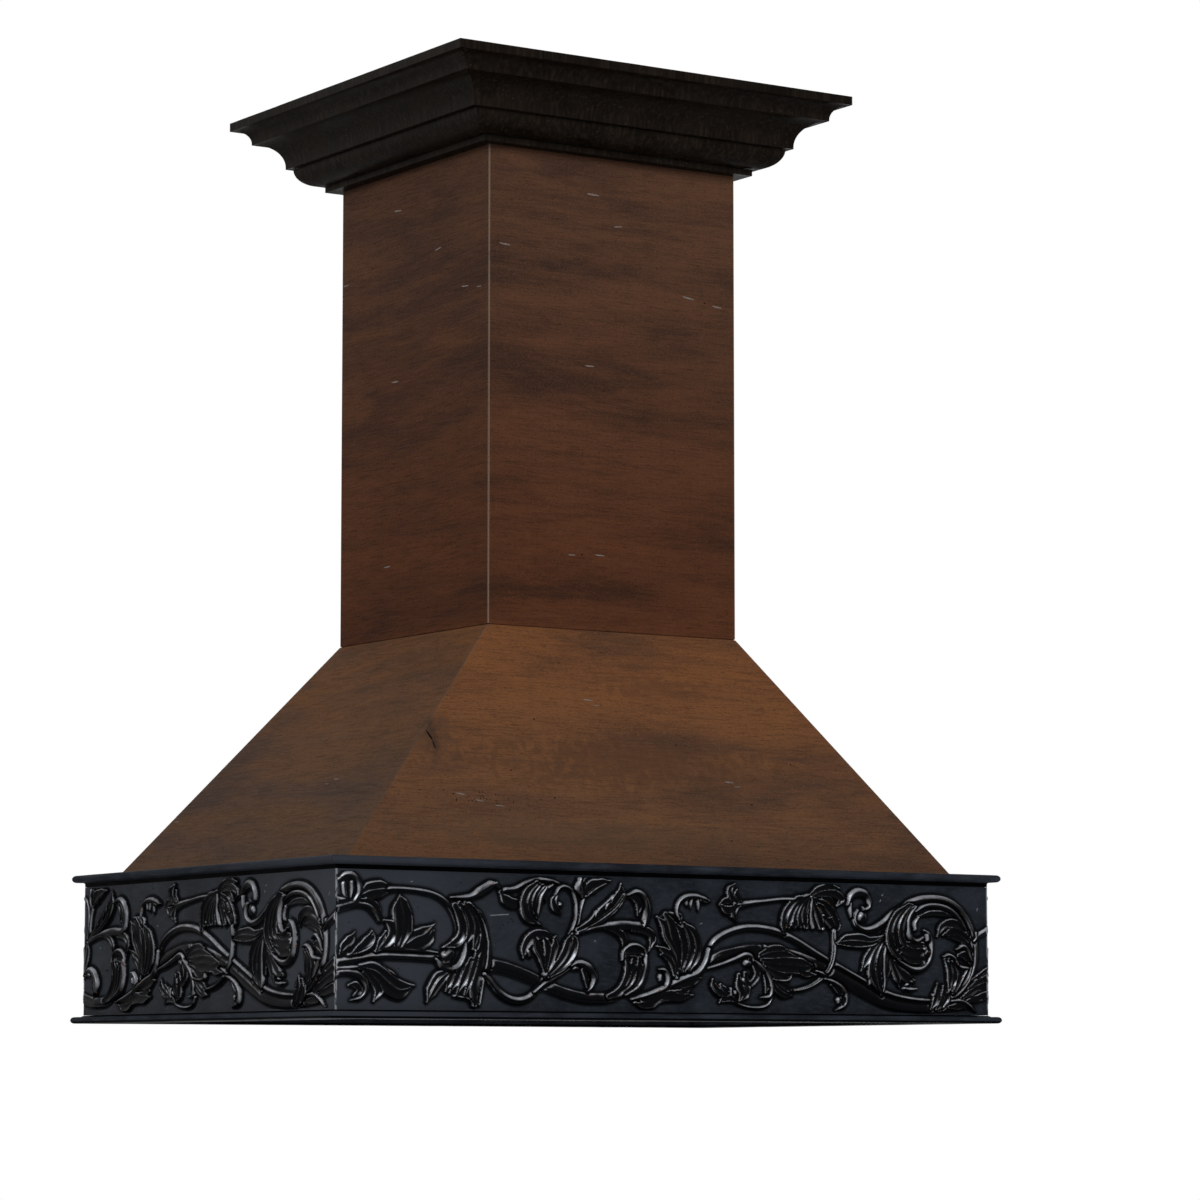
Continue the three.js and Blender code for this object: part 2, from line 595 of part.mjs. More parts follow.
function screwSolid(corner, faceUp, upward) {
  const sunk = upward ? faceUp + screwRecess : faceUp - screwRecess;
  const body = solidOf(turned(screwOutline(0, 0), corner, sunk, upward));
  const socketRadius = driveSocket / 2;
  const socketLength = 2 * driveSocketDepth;
  const socket = new THREE.CylinderGeometry(socketRadius, socketRadius, socketLength, driveSocketSides);
  socket.rotateX(Math.PI / 2);
  socket.translate(corner.x * screwHalf.width, corner.y * screwHalf.depth, sunk);
  return body.subtract(solidOf(socket));
}

function screwBore(corner, faceUp, upward) {
  const sunk = upward ? faceUp + screwRecess : faceUp - screwRecess;
  return solidOf(turned(screwOutline(boreClearance, screwRecess + cutOverrun), corner, sunk, upward));
}

function box(width, depth, height, x, y, bottom) {
  const geometry = new THREE.BoxGeometry(width, depth, height);
  geometry.translate(x, y, bottom + height / 2);
  return geometry;
}

const neckFace = -frameRailThickness - jointGap;
for (const corner of corners) {
  const x = corner.x * screwHalf.width;
  const y = corner.y * screwHalf.depth;
  const post = solidOf(box(postSide, postSide, postTop - postBottom, x, y, postBottom))
    .subtract(screwBore(corner, neckFace, true))
    .subtract(screwBore(corner, chimneyHeight, false));
  addMesh(chimney, `chimney_post_${corner.name}`, geometryOf(post), rawWood);
  const neckScrew = screwSolid(corner, neckFace, true);
  const ceilingScrew = screwSolid(corner, chimneyHeight, false);
  addMesh(chimney, `neck_screw_${corner.name}`, geometryOf(neckScrew), zincSteel);
  addMesh(chimney, `ceiling_screw_${corner.name}`, geometryOf(ceilingScrew), zincSteel);
}

// A frame of four rails: front and back run full length, left and right fit between them.
function addFrame(prefix, half, bottom, screwFace, upward) {
  for (const side of sides) {
    const out = faceOf(half, side) - frameRailWidth / 2;
    const span = side.deep ? 2 * (half.depth - frameRailWidth - jointGap) : 2 * half.width;
    const width = side.deep ? frameRailWidth : span;
    const depth = side.deep ? span : frameRailWidth;
    const x = Math.round(Math.sin(side.turn)) * out;
    const y = -Math.round(Math.cos(side.turn)) * out;
    let rail = solidOf(box(width, depth, frameRailThickness, x, y, bottom));
    for (const corner of corners) {
      rail = rail.subtract(screwBore(corner, screwFace, upward));
    }
    addMesh(chimney, `${prefix}_${side.name}`, geometryOf(rail), rawWood);
  }
}

const neckHalf = {
  width: chimneyHalf.width - levelThickness.width - jointGap,
  depth: chimneyHalf.depth - levelThickness.depth - jointGap,
};
addFrame("neck_rail", neckHalf, neckFace, neckFace, true);
addFrame("ceiling_rail", postHalf, chimneyHeight - frameRailThickness, chimneyHeight, false);

// Chimney boards, mitred at the corners, from the canopy's head to the ceiling.
for (const side of sides) {
  const face = faceOf(chimneyHalf, side);
  const section = polygon([
    [face - chimneyBoard, 0],
    [face, 0],
    [face, chimneyHeight],
    [face - chimneyBoard, chimneyHeight],
  ]);
  const board = mitredRun(section, squareMitre(chimneyHalf, side));
  addMesh(chimney, `chimney_board_${side.name}`, board, stainedWalnut, side.turn);
}

// Crown cornice, measured down from the ceiling: fascia, small cove, arris, large cove, and a rebated back.
function corniceSection(face) {
  const shape = new THREE.Shape();
  const back = face + jointGap;
  const smallTop = fasciaProjection - fasciaStep;
  const smallFoot = smallTop - smallCove;
  const largeTop = smallFoot - arrisStep;
  const largeFoot = largeTop - largeCove;
  const smallDrop = fasciaHeight + smallCove;
  const largeDrop = smallDrop + arrisHeight;
  shape.moveTo(back, 0);
  shape.lineTo(back, -corniceTopBoard);
  shape.lineTo(face + largeFoot - corniceBackDepth, -corniceTopBoard);
  shape.lineTo(face + largeFoot - corniceBackDepth, -largeDrop - largeCove - corniceFoot);
  shape.lineTo(face + largeFoot, -largeDrop - largeCove - corniceFoot);
  shape.lineTo(face + largeFoot, -largeDrop - largeCove);
  shape.absarc(face + largeTop, -largeDrop - largeCove, largeCove, Math.PI, Math.PI / 2, true);
  shape.lineTo(face + smallFoot, -largeDrop);
  shape.lineTo(face + smallFoot, -smallDrop);
  shape.absarc(face + smallTop, -smallDrop, smallCove, Math.PI, Math.PI / 2, true);
  shape.lineTo(face + fasciaProjection, -fasciaHeight);
  shape.lineTo(face + fasciaProjection, 0);
  shape.closePath();
  return shape;
}

const corniceDrop = fasciaHeight + smallCove + arrisHeight + largeCove + corniceFoot;
const corniceFootProjection = fasciaProjection - fasciaStep - smallCove - arrisStep - largeCove;

// Bed moulding under the cornice: an ovolo set back from the cornice's foot.
function bedSection(face) {
  const shape = new THREE.Shape();
  const top = -corniceDrop - jointGap;
  const ovoloFoot = corniceFootProjection - bedReveal - ovoloWidth;
  shape.moveTo(face + jointGap, top);
  shape.lineTo(face + jointGap, top - ovoloHeight);
  shape.lineTo(face + ovoloFoot, top - ovoloHeight);
  shape.absellipse(face + ovoloFoot, top, ovoloWidth, ovoloHeight, -Math.PI / 2, 0, false, 0);
  shape.closePath();
  return shape;
}

// Square strip at the foot of the crown.
function stripSection(face) {
  const top = -corniceDrop - ovoloHeight - 2 * jointGap;
  return polygon([
    [face + jointGap, top - stripHeight],
    [face + stripProjection, top - stripHeight],
    [face + stripProjection, top],
    [face + jointGap, top],
  ]);
}

for (const side of sides) {
  const face = faceOf(chimneyHalf, side);
  const mitre = squareMitre(chimneyHalf, side);
  const cornice = mitredRun(corniceSection(face), mitre, crownSegments);
  const bed = mitredRun(bedSection(face), mitre, crownSegments);
  const strip = mitredRun(stripSection(face), mitre);
  addMesh(crown, `crown_cornice_${side.name}`, cornice, crownBlack, side.turn);
  addMesh(crown, `crown_bed_${side.name}`, bed, crownBlack, side.turn);
  addMesh(crown, `crown_strip_${side.name}`, strip, crownBlack, side.turn);
}

export default hood;
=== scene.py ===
# Island range hood cover in stained wood, dressed around its packed construction.
# Everything is in metres in the construction's own frame: the front faces -Y, +X is right, Z is up.

import math
import random

import bmesh
import bpy
import numpy as np
from mathutils import Matrix, Vector, noise


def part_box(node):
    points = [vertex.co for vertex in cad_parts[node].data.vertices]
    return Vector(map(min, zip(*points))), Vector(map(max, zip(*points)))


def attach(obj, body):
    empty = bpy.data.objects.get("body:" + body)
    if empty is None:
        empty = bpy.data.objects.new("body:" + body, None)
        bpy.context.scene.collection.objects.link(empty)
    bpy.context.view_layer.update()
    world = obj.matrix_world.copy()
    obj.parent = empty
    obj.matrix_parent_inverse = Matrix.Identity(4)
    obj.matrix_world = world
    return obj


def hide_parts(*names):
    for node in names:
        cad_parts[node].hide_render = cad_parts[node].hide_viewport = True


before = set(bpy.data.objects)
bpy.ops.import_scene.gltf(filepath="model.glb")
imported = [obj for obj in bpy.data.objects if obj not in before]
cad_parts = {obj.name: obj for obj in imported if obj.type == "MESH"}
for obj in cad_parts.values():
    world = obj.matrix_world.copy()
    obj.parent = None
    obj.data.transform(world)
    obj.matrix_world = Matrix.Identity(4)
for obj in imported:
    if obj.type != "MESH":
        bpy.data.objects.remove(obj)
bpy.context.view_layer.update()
bpy.ops.object.select_all(action="DESELECT")


# Camera: someone standing off the hood's near left corner, a hand's breadth below its underside.
eye = (-2.8589, -4.4894, -0.0610)
look_up = 0.1070
look_right = 0.5816
lens_mm = 132.64
bpy.ops.object.camera_add(location=eye, rotation=(math.pi / 2 + look_up, 0, -look_right))
camera = bpy.context.object
camera.name = "viewpoint"
camera.data.lens = lens_mm
camera.data.sensor_width = 36
camera.data.clip_end = 60
bpy.context.scene.camera = camera
bpy.context.scene.view_settings.view_transform = "Standard"


# Studio light: a very large soft lamp high in front, another on the left, two smaller ones on the right and
# behind, and an even white surround.
def add_soft_lamp(name, place, aim, width, height, watts):
    bpy.ops.object.light_add(type="AREA", location=place)
    lamp = bpy.context.object
    lamp.name = name
    lamp.rotation_euler = (Vector(aim) - Vector(place)).to_track_quat("-Z", "Y").to_euler()
    lamp.data.shape = "RECTANGLE"
    lamp.data.size = width
    lamp.data.size_y = height
    lamp.data.energy = watts


add_soft_lamp("front_softbox", (-0.9, -4.25, 2.5), (0, 0, 0.3), 3.0, 2.2, 154)
add_soft_lamp("left_softbox", (-4.3, 1.8, 2.1), (0, 0, 0.3), 2.4, 1.8, 98)
add_soft_lamp("right_softbox", (4.6, -1.55, 1.0), (0, 0, 0.3), 0.8, 1.2, 50)
add_soft_lamp("back_softbox", (2.6, 3.2, 2.2), (0, 0, 0.4), 1.0, 1.0, 50)


def add_node(tree, kind, inputs=None, **settings):
    """A new node with its settings, and its inputs linked where the value is a socket."""
    made = tree.nodes.new(kind)
    for key, value in settings.items():
        setattr(made, key, value)
    for key, value in (inputs or {}).items():
        if isinstance(value, bpy.types.NodeSocket):
            tree.links.new(value, made.inputs[key])
        else:
            made.inputs[key].default_value = value
    return made


def combine(tree, operation, first, second=0.0):
    return add_node(tree, "ShaderNodeMath", {0: first, 1: second}, operation=operation).outputs[0]


surround_strength = 0.31
world = bpy.data.worlds.new("studio")
world.use_nodes = True
bpy.context.scene.world = world
surround = world.node_tree
surround.nodes.clear()
paths = add_node(surround, "ShaderNodeLightPath").outputs
seen = combine(surround, "MAXIMUM", paths["Is Camera Ray"], paths["Is Glossy Ray"])
seen = combine(surround, "MAXIMUM", seen, paths["Is Transmission Ray"])
level = add_node(surround, "ShaderNodeMapRange", {
    "Value": seen, "To Min": surround_strength, "To Max": 1.0,
}).outputs["Result"]
backdrop = add_node(surround, "ShaderNodeBackground", {"Color": (1, 1, 1, 1), "Strength": level})
add_node(surround, "ShaderNodeOutputWorld", {"Surface": backdrop.outputs["Background"]})


# Floor: the pale studio floor, well below the hood, which hangs above it as it does over a cooktop.
floor_drop = 0.9
bpy.ops.mesh.primitive_circle_add(vertices=96, radius=7, fill_type="NGON", location=(0, 0, -floor_drop))
floor = bpy.context.object
floor.name = "studio_floor"
floor_paint = bpy.data.materials.new("studio_floor_paint")
floor_paint.use_nodes = True
floor_shader = floor_paint.node_tree.nodes["Principled BSDF"]
floor_shader.inputs["Base Color"].default_value = (0.86, 0.86, 0.86, 1)
floor_shader.inputs["Roughness"].default_value = 0.9
floor.data.materials.append(floor_paint)


# Apron rails: eight lengths of moulding, four under the carved boards and four over them, each with a
# full round nose. Solid wood run on a spindle moulder, mitred and glued, sprayed satin blue-black.
nose_projection = 0.0118
cut_spacing = 0.02
waviness = 0.00012
waves_per_metre = 45
merge_distance = 0.000005
flat_degrees = 0.6
board_half_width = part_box("bottom_rail_right")[1].x - nose_projection
board_half_depth = -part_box("bottom_rail_front")[0].y - nose_projection
SIDES = ("front", "right", "back", "left")


def new_finish(name, roughness, specular):
    material = bpy.data.materials.new(name)
    material.use_nodes = True
    tree = material.node_tree
    shader = tree.nodes["Principled BSDF"]
    shader.inputs["Roughness"].default_value = roughness
    shader.inputs["Specular IOR Level"].default_value = specular
    return material, tree, shader


def own_place(tree):
    return add_node(tree, "ShaderNodeTexCoord").outputs["Object"]


def own_axes(tree):
    return add_node(tree, "ShaderNodeSeparateXYZ", {"Vector": own_place(tree)}).outputs


def vector(tree, operation, first, second=(0, 0, 0), output="Vector"):
    return add_node(tree, "ShaderNodeVectorMath", {0: first, 1: second}, operation=operation).outputs[output]


def cloud(tree, stretch, detail=3.0, distortion=0.0, shift=(0, 0, 0), roughness=0.55, place=None):
    """Noise on the piece's own place, with as many blotches a metre along X, Y and Z as stretch says."""
    place = place or own_place(tree)
    mapped = add_node(tree, "ShaderNodeMapping", {"Vector": place, "Scale": stretch, "Location": shift})
    inputs = {
        "Vector": mapped.outputs["Vector"],
        "Scale": 1.0,
        "Detail": detail,
        "Roughness": roughness,
        "Distortion": distortion,
    }
    return add_node(tree, "ShaderNodeTexNoise", inputs).outputs["Fac"]


def spread(tree, value, low, high, to_low=0.0, to_high=1.0):
    """The value's place between low and high, eased, brought between to_low and to_high."""
    inputs = {"Value": value, "From Min": low, "From Max": high, "To Min": to_low, "To Max": to_high}
    return add_node(tree, "ShaderNodeMapRange", inputs, interpolation_type="SMOOTHSTEP").outputs["Result"]


def blend_colour(tree, factor, first, second, how="MIX"):
    made = add_node(tree, "ShaderNodeMix", data_type="RGBA", blend_type=how)
    for name, value in (("Factor_Float", factor), ("A_Color", first), ("B_Color", second)):
        socket = next(s for s in made.inputs if s.identifier == name)
        if isinstance(value, bpy.types.NodeSocket):
            tree.links.new(value, socket)
        else:
            socket.default_value = value if name == "Factor_Float" else (*value, 1)
    return next(s for s in made.outputs if s.identifier == "Result_Color")


def paint(tree, tone, colour, value, low, high, share=1.0):
    """The tone, turned to the colour by up to the share as the value goes from low to high."""
    return blend_colour(tree, spread(tree, value, low, high, 0.0, share), tone, colour)


def scaled(values, factor):
    return [factor * value for value in values]


def weigh(tree, first, first_weight, second, second_weight, operation="ADD"):
    first = combine(tree, "MULTIPLY", first, first_weight)
    return combine(tree, operation, first, combine(tree, "MULTIPLY", second, second_weight))


def rub_corner(tree, tone, colour, ragged, reach, width_and_depth, lean=0.0, foot=0.0):
    """The tone, worn to the colour along the corner edges, as far as reach from them and as ragged says. An
    edge is where |x| + |y| is largest: width_and_depth at the foot, less lean for each metre up."""
    axes = own_axes(tree)
    out = combine(tree, "ADD", combine(tree, "ABSOLUTE", axes["X"]), combine(tree, "ABSOLUTE", axes["Y"]))
    height = combine(tree, "SUBTRACT", axes["Z"], foot)
    limit = combine(tree, "SUBTRACT", width_and_depth, combine(tree, "MULTIPLY", height, lean))
    edge = spread(tree, combine(tree, "SUBTRACT", limit, out), reach, 0.0)
    return blend_colour(tree, combine(tree, "MULTIPLY", edge, ragged), tone, colour)


def add_bump(tree, shader, height, distance, strength):
    bump = add_node(tree, "ShaderNodeBump", {"Height": height, "Distance": distance, "Strength": strength})
    tree.links.new(bump.outputs["Normal"], shader.inputs["Normal"])


# Near black, painted where shade falls: in the rails' coves and on their foot, and in the carving's crevices,
# hollows and unlit forms.
painted_shade_black = (0.0006, 0.0006, 0.0008)
# A painted glow of light round the near left corner: its colour, the height of its middle, its reach, its
# full core and its strength.
painted_glow_colour = (0.030, 0.034, 0.042)
painted_glow_height = 0.09
painted_glow_reach = 0.34
painted_glow_core = 0.04
painted_glow_strength = 0.75
# Painted shade on the bottom rail's lower nose: where it fades out above, and where it starts at the foot.
foot_shade_upper = (0.0034, 0.0022)
foot_shade_lower = (0.0001, 0.0006)
shade_edge = 0.0005


def painted_corner_glow(tree):
    """A painted glow of light, paler towards the near left corner."""
    off = vector(tree, "SUBTRACT", own_place(tree), (-board_half_width, -board_half_depth, painted_glow_height))
    far = vector(tree, "LENGTH", off, output="Value")
    return spread(tree, far, painted_glow_reach, painted_glow_core, 0.0, painted_glow_strength)


def black_finish(name, body, worn, roughness, specular, grain, corner, streak, shaded=()):
    """Satin black over wood: uneven sheen, brushed grain, specks and pale corners. With shaded heights, each
    (low, high), it has painted shade there and on the foot, and a painted glow by the near left corner."""
    material, tree, shader = new_finish(name, roughness, specular)
    mottle = cloud(tree, (24, 24, 24), 4.0)
    fine = cloud(tree, grain, 3.0, shift=(3, 5, 7))
    specks = cloud(tree, (420, 420, 420), 2.0, shift=(1, 9, 4))
    patches = cloud(tree, (7, 7, 9), 3.0, 0.5, shift=(11, 2, 6))
    tone = blend_colour(tree, spread(tree, mottle, 0.35, 0.7), body, scaled(body, 1.9))
    tone = paint(tree, tone, scaled(body, 4.5), fine, 0.42, 0.75, streak)
    tone = paint(tree, tone, worn, specks, 0.66, 0.74, 0.4)
    ragged = spread(tree, cloud(tree, (160, 160, 70), 4.0), 0.40, 0.62)
    tone = rub_corner(tree, tone, worn, ragged, 0.0022, corner)
    if shaded:
        # Painted light: a glow round the near left corner.
        tone = blend_colour(tree, painted_corner_glow(tree), tone, painted_glow_colour)
        height = own_axes(tree)["Z"]
        # Painted shade on the lower nose at the foot, and in the coves at the shaded heights.
        foot_shade = combine(tree, "MULTIPLY", spread(tree, height, *foot_shade_upper), spread(tree, height, *foot_shade_lower))
        tone = blend_colour(tree, foot_shade, tone, painted_shade_black)
        for low, high in shaded:
            over_low = spread(tree, height, low, low + shade_edge)
            under_high = spread(tree, height, high, high - shade_edge)
            tone = blend_colour(tree, combine(tree, "MULTIPLY", over_low, under_high), tone, painted_shade_black)
    sheen = combine(tree, "MULTIPLY", spread(tree, patches, 0.35, 0.7), 0.16)
    uneven = combine(tree, "ADD", sheen, spread(tree, mottle, 0.3, 0.8, roughness - 0.08, roughness + 0.06))
    tree.links.new(tone, shader.inputs["Base Color"])
    tree.links.new(uneven, shader.inputs["Roughness"])
    add_bump(tree, shader, weigh(tree, fine, 0.7, specks, 0.5), 0.0005, 0.35)
    return material


def select_only(piece):
    bpy.ops.object.select_all(action="DESELECT")
    piece.select_set(True)
    bpy.context.view_layer.objects.active = piece


def apply_modifier(piece, name, kind, **settings):
    select_only(piece)
    made = piece.modifiers.new(name, kind)
    for key, value in settings.items():
        setattr(made, key, value)
    bpy.ops.object.modifier_apply(modifier=made.name)


def open_mesh(piece):
    select_only(piece)
    bpy.ops.object.mode_set(mode="EDIT")
    bpy.ops.mesh.select_all(action="DESELECT")


def close_mesh():
    bpy.ops.object.mode_set(mode="OBJECT")


def copied_node(node, name, material):
    """A new piece from a construction piece's mesh, its loose triangles merged into flat faces."""
    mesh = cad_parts[node].data.copy()
    mesh.materials.clear()
    mesh.materials.append(material)
    piece = bpy.data.objects.new(name, mesh)
    bpy.context.scene.collection.objects.link(piece)
    open_mesh(piece)
    bpy.ops.mesh.select_all(action="SELECT")
    bpy.ops.mesh.remove_doubles(threshold=merge_distance)
    bpy.ops.mesh.dissolve_limited(angle_limit=math.radians(flat_degrees))
    close_mesh()
    return piece


def smooth_piece(piece, degrees=38):
    """Smooth shading that keeps the large flat faces flat."""
    select_only(piece)
    bpy.ops.object.shade_smooth_by_angle(angle=math.radians(degrees))
    apply_modifier(piece, "flat_faces_first", "WEIGHTED_NORMAL", keep_sharp=True, weight=80)


def settle(piece, node):
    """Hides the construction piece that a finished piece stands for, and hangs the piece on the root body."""
    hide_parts(node)
    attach(piece, "root")


def cut_in_lengths(piece, side, reach):
    """Cuts a moulding across at even spacing, so that its surface can be worn unevenly along its length."""
    open_mesh(piece)
    shape = bmesh.from_edit_mesh(piece.data)
    axis = Vector((1, 0, 0)) if side in ("front", "back") else Vector((0, 1, 0))
    steps = int(reach / cut_spacing)
    for step in range(-steps, steps + 1):
        everything = shape.verts[:] + shape.edges[:] + shape.faces[:]
        bmesh.ops.bisect_plane(shape, geom=everything, plane_co=axis * step * cut_spacing, plane_no=axis)
    bmesh.update_edit_mesh(piece.data)
    close_mesh()


def wear_surface(piece):
    """Moves each point in by a fraction of a millimetre, more in some places than in others."""
    points = piece.data.vertices
    normals = [vertex.normal.copy() for vertex in points]
    for vertex, normal in zip(points, normals):
        vertex.co += normal * (noise.noise(vertex.co * waves_per_metre) * waviness - waviness)
    piece.data.update()


def run_moulding(node, name, side, reach, material):
    moulding = copied_node(node, name, material)
    cut_in_lengths(moulding, side, reach)
    wear_surface(moulding)
    smooth_piece(moulding)
    settle(moulding, node)


rail_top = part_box("top_rail_front")[1].z
# Painted shade in the coves between the rails' noses and the carved boards, as heights (low, high).
shaded_rail_coves = [(0.0078, rail_top - 0.0092)]
apron_black = black_finish(
    "apron_black", body=(0.0085, 0.0100, 0.0130), worn=(0.055, 0.052, 0.050), roughness=0.45, specular=0.006,
    grain=(30, 30, 260), corner=board_half_width + board_half_depth + 2 * nose_projection, streak=0.3,
    shaded=shaded_rail_coves,
)
for side in SIDES:
    for level_name in ("bottom", "top"):
        node_name, name = f"{level_name}_rail_{side}", f"{level_name}_rail_moulding_{side}"
        run_moulding(node_name, name, side, board_half_width + nose_projection, apron_black)


# Carved boards: four planks of fine-grained wood between the rails, carved by hand in low relief with one
# long vine scroll of acanthus leaves and open flowers, then sprayed, rubbed through in spots, and given
# painted highlights on the high points.
TURNS = {"front": 0, "right": math.pi / 2, "back": math.pi, "left": -math.pi / 2}
board_thickness = 0.022
board_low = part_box("carved_board_front")[0].z
board_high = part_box("carved_board_front")[1].z
field_margin = 0.0016
field_low = board_low + field_margin
field_height = board_high - field_margin - field_low
relief_height = 0.0052
end_relief_share = 0.3
end_fade = 0.035
crest_unit = 0.00082
mitre_setback = 0.00018
field_step = 0.0045
board_columns, board_rows = ((1180, 200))
kept_triangles = 188000
normal_reach = 0.0005
deepest_mark = 0.002

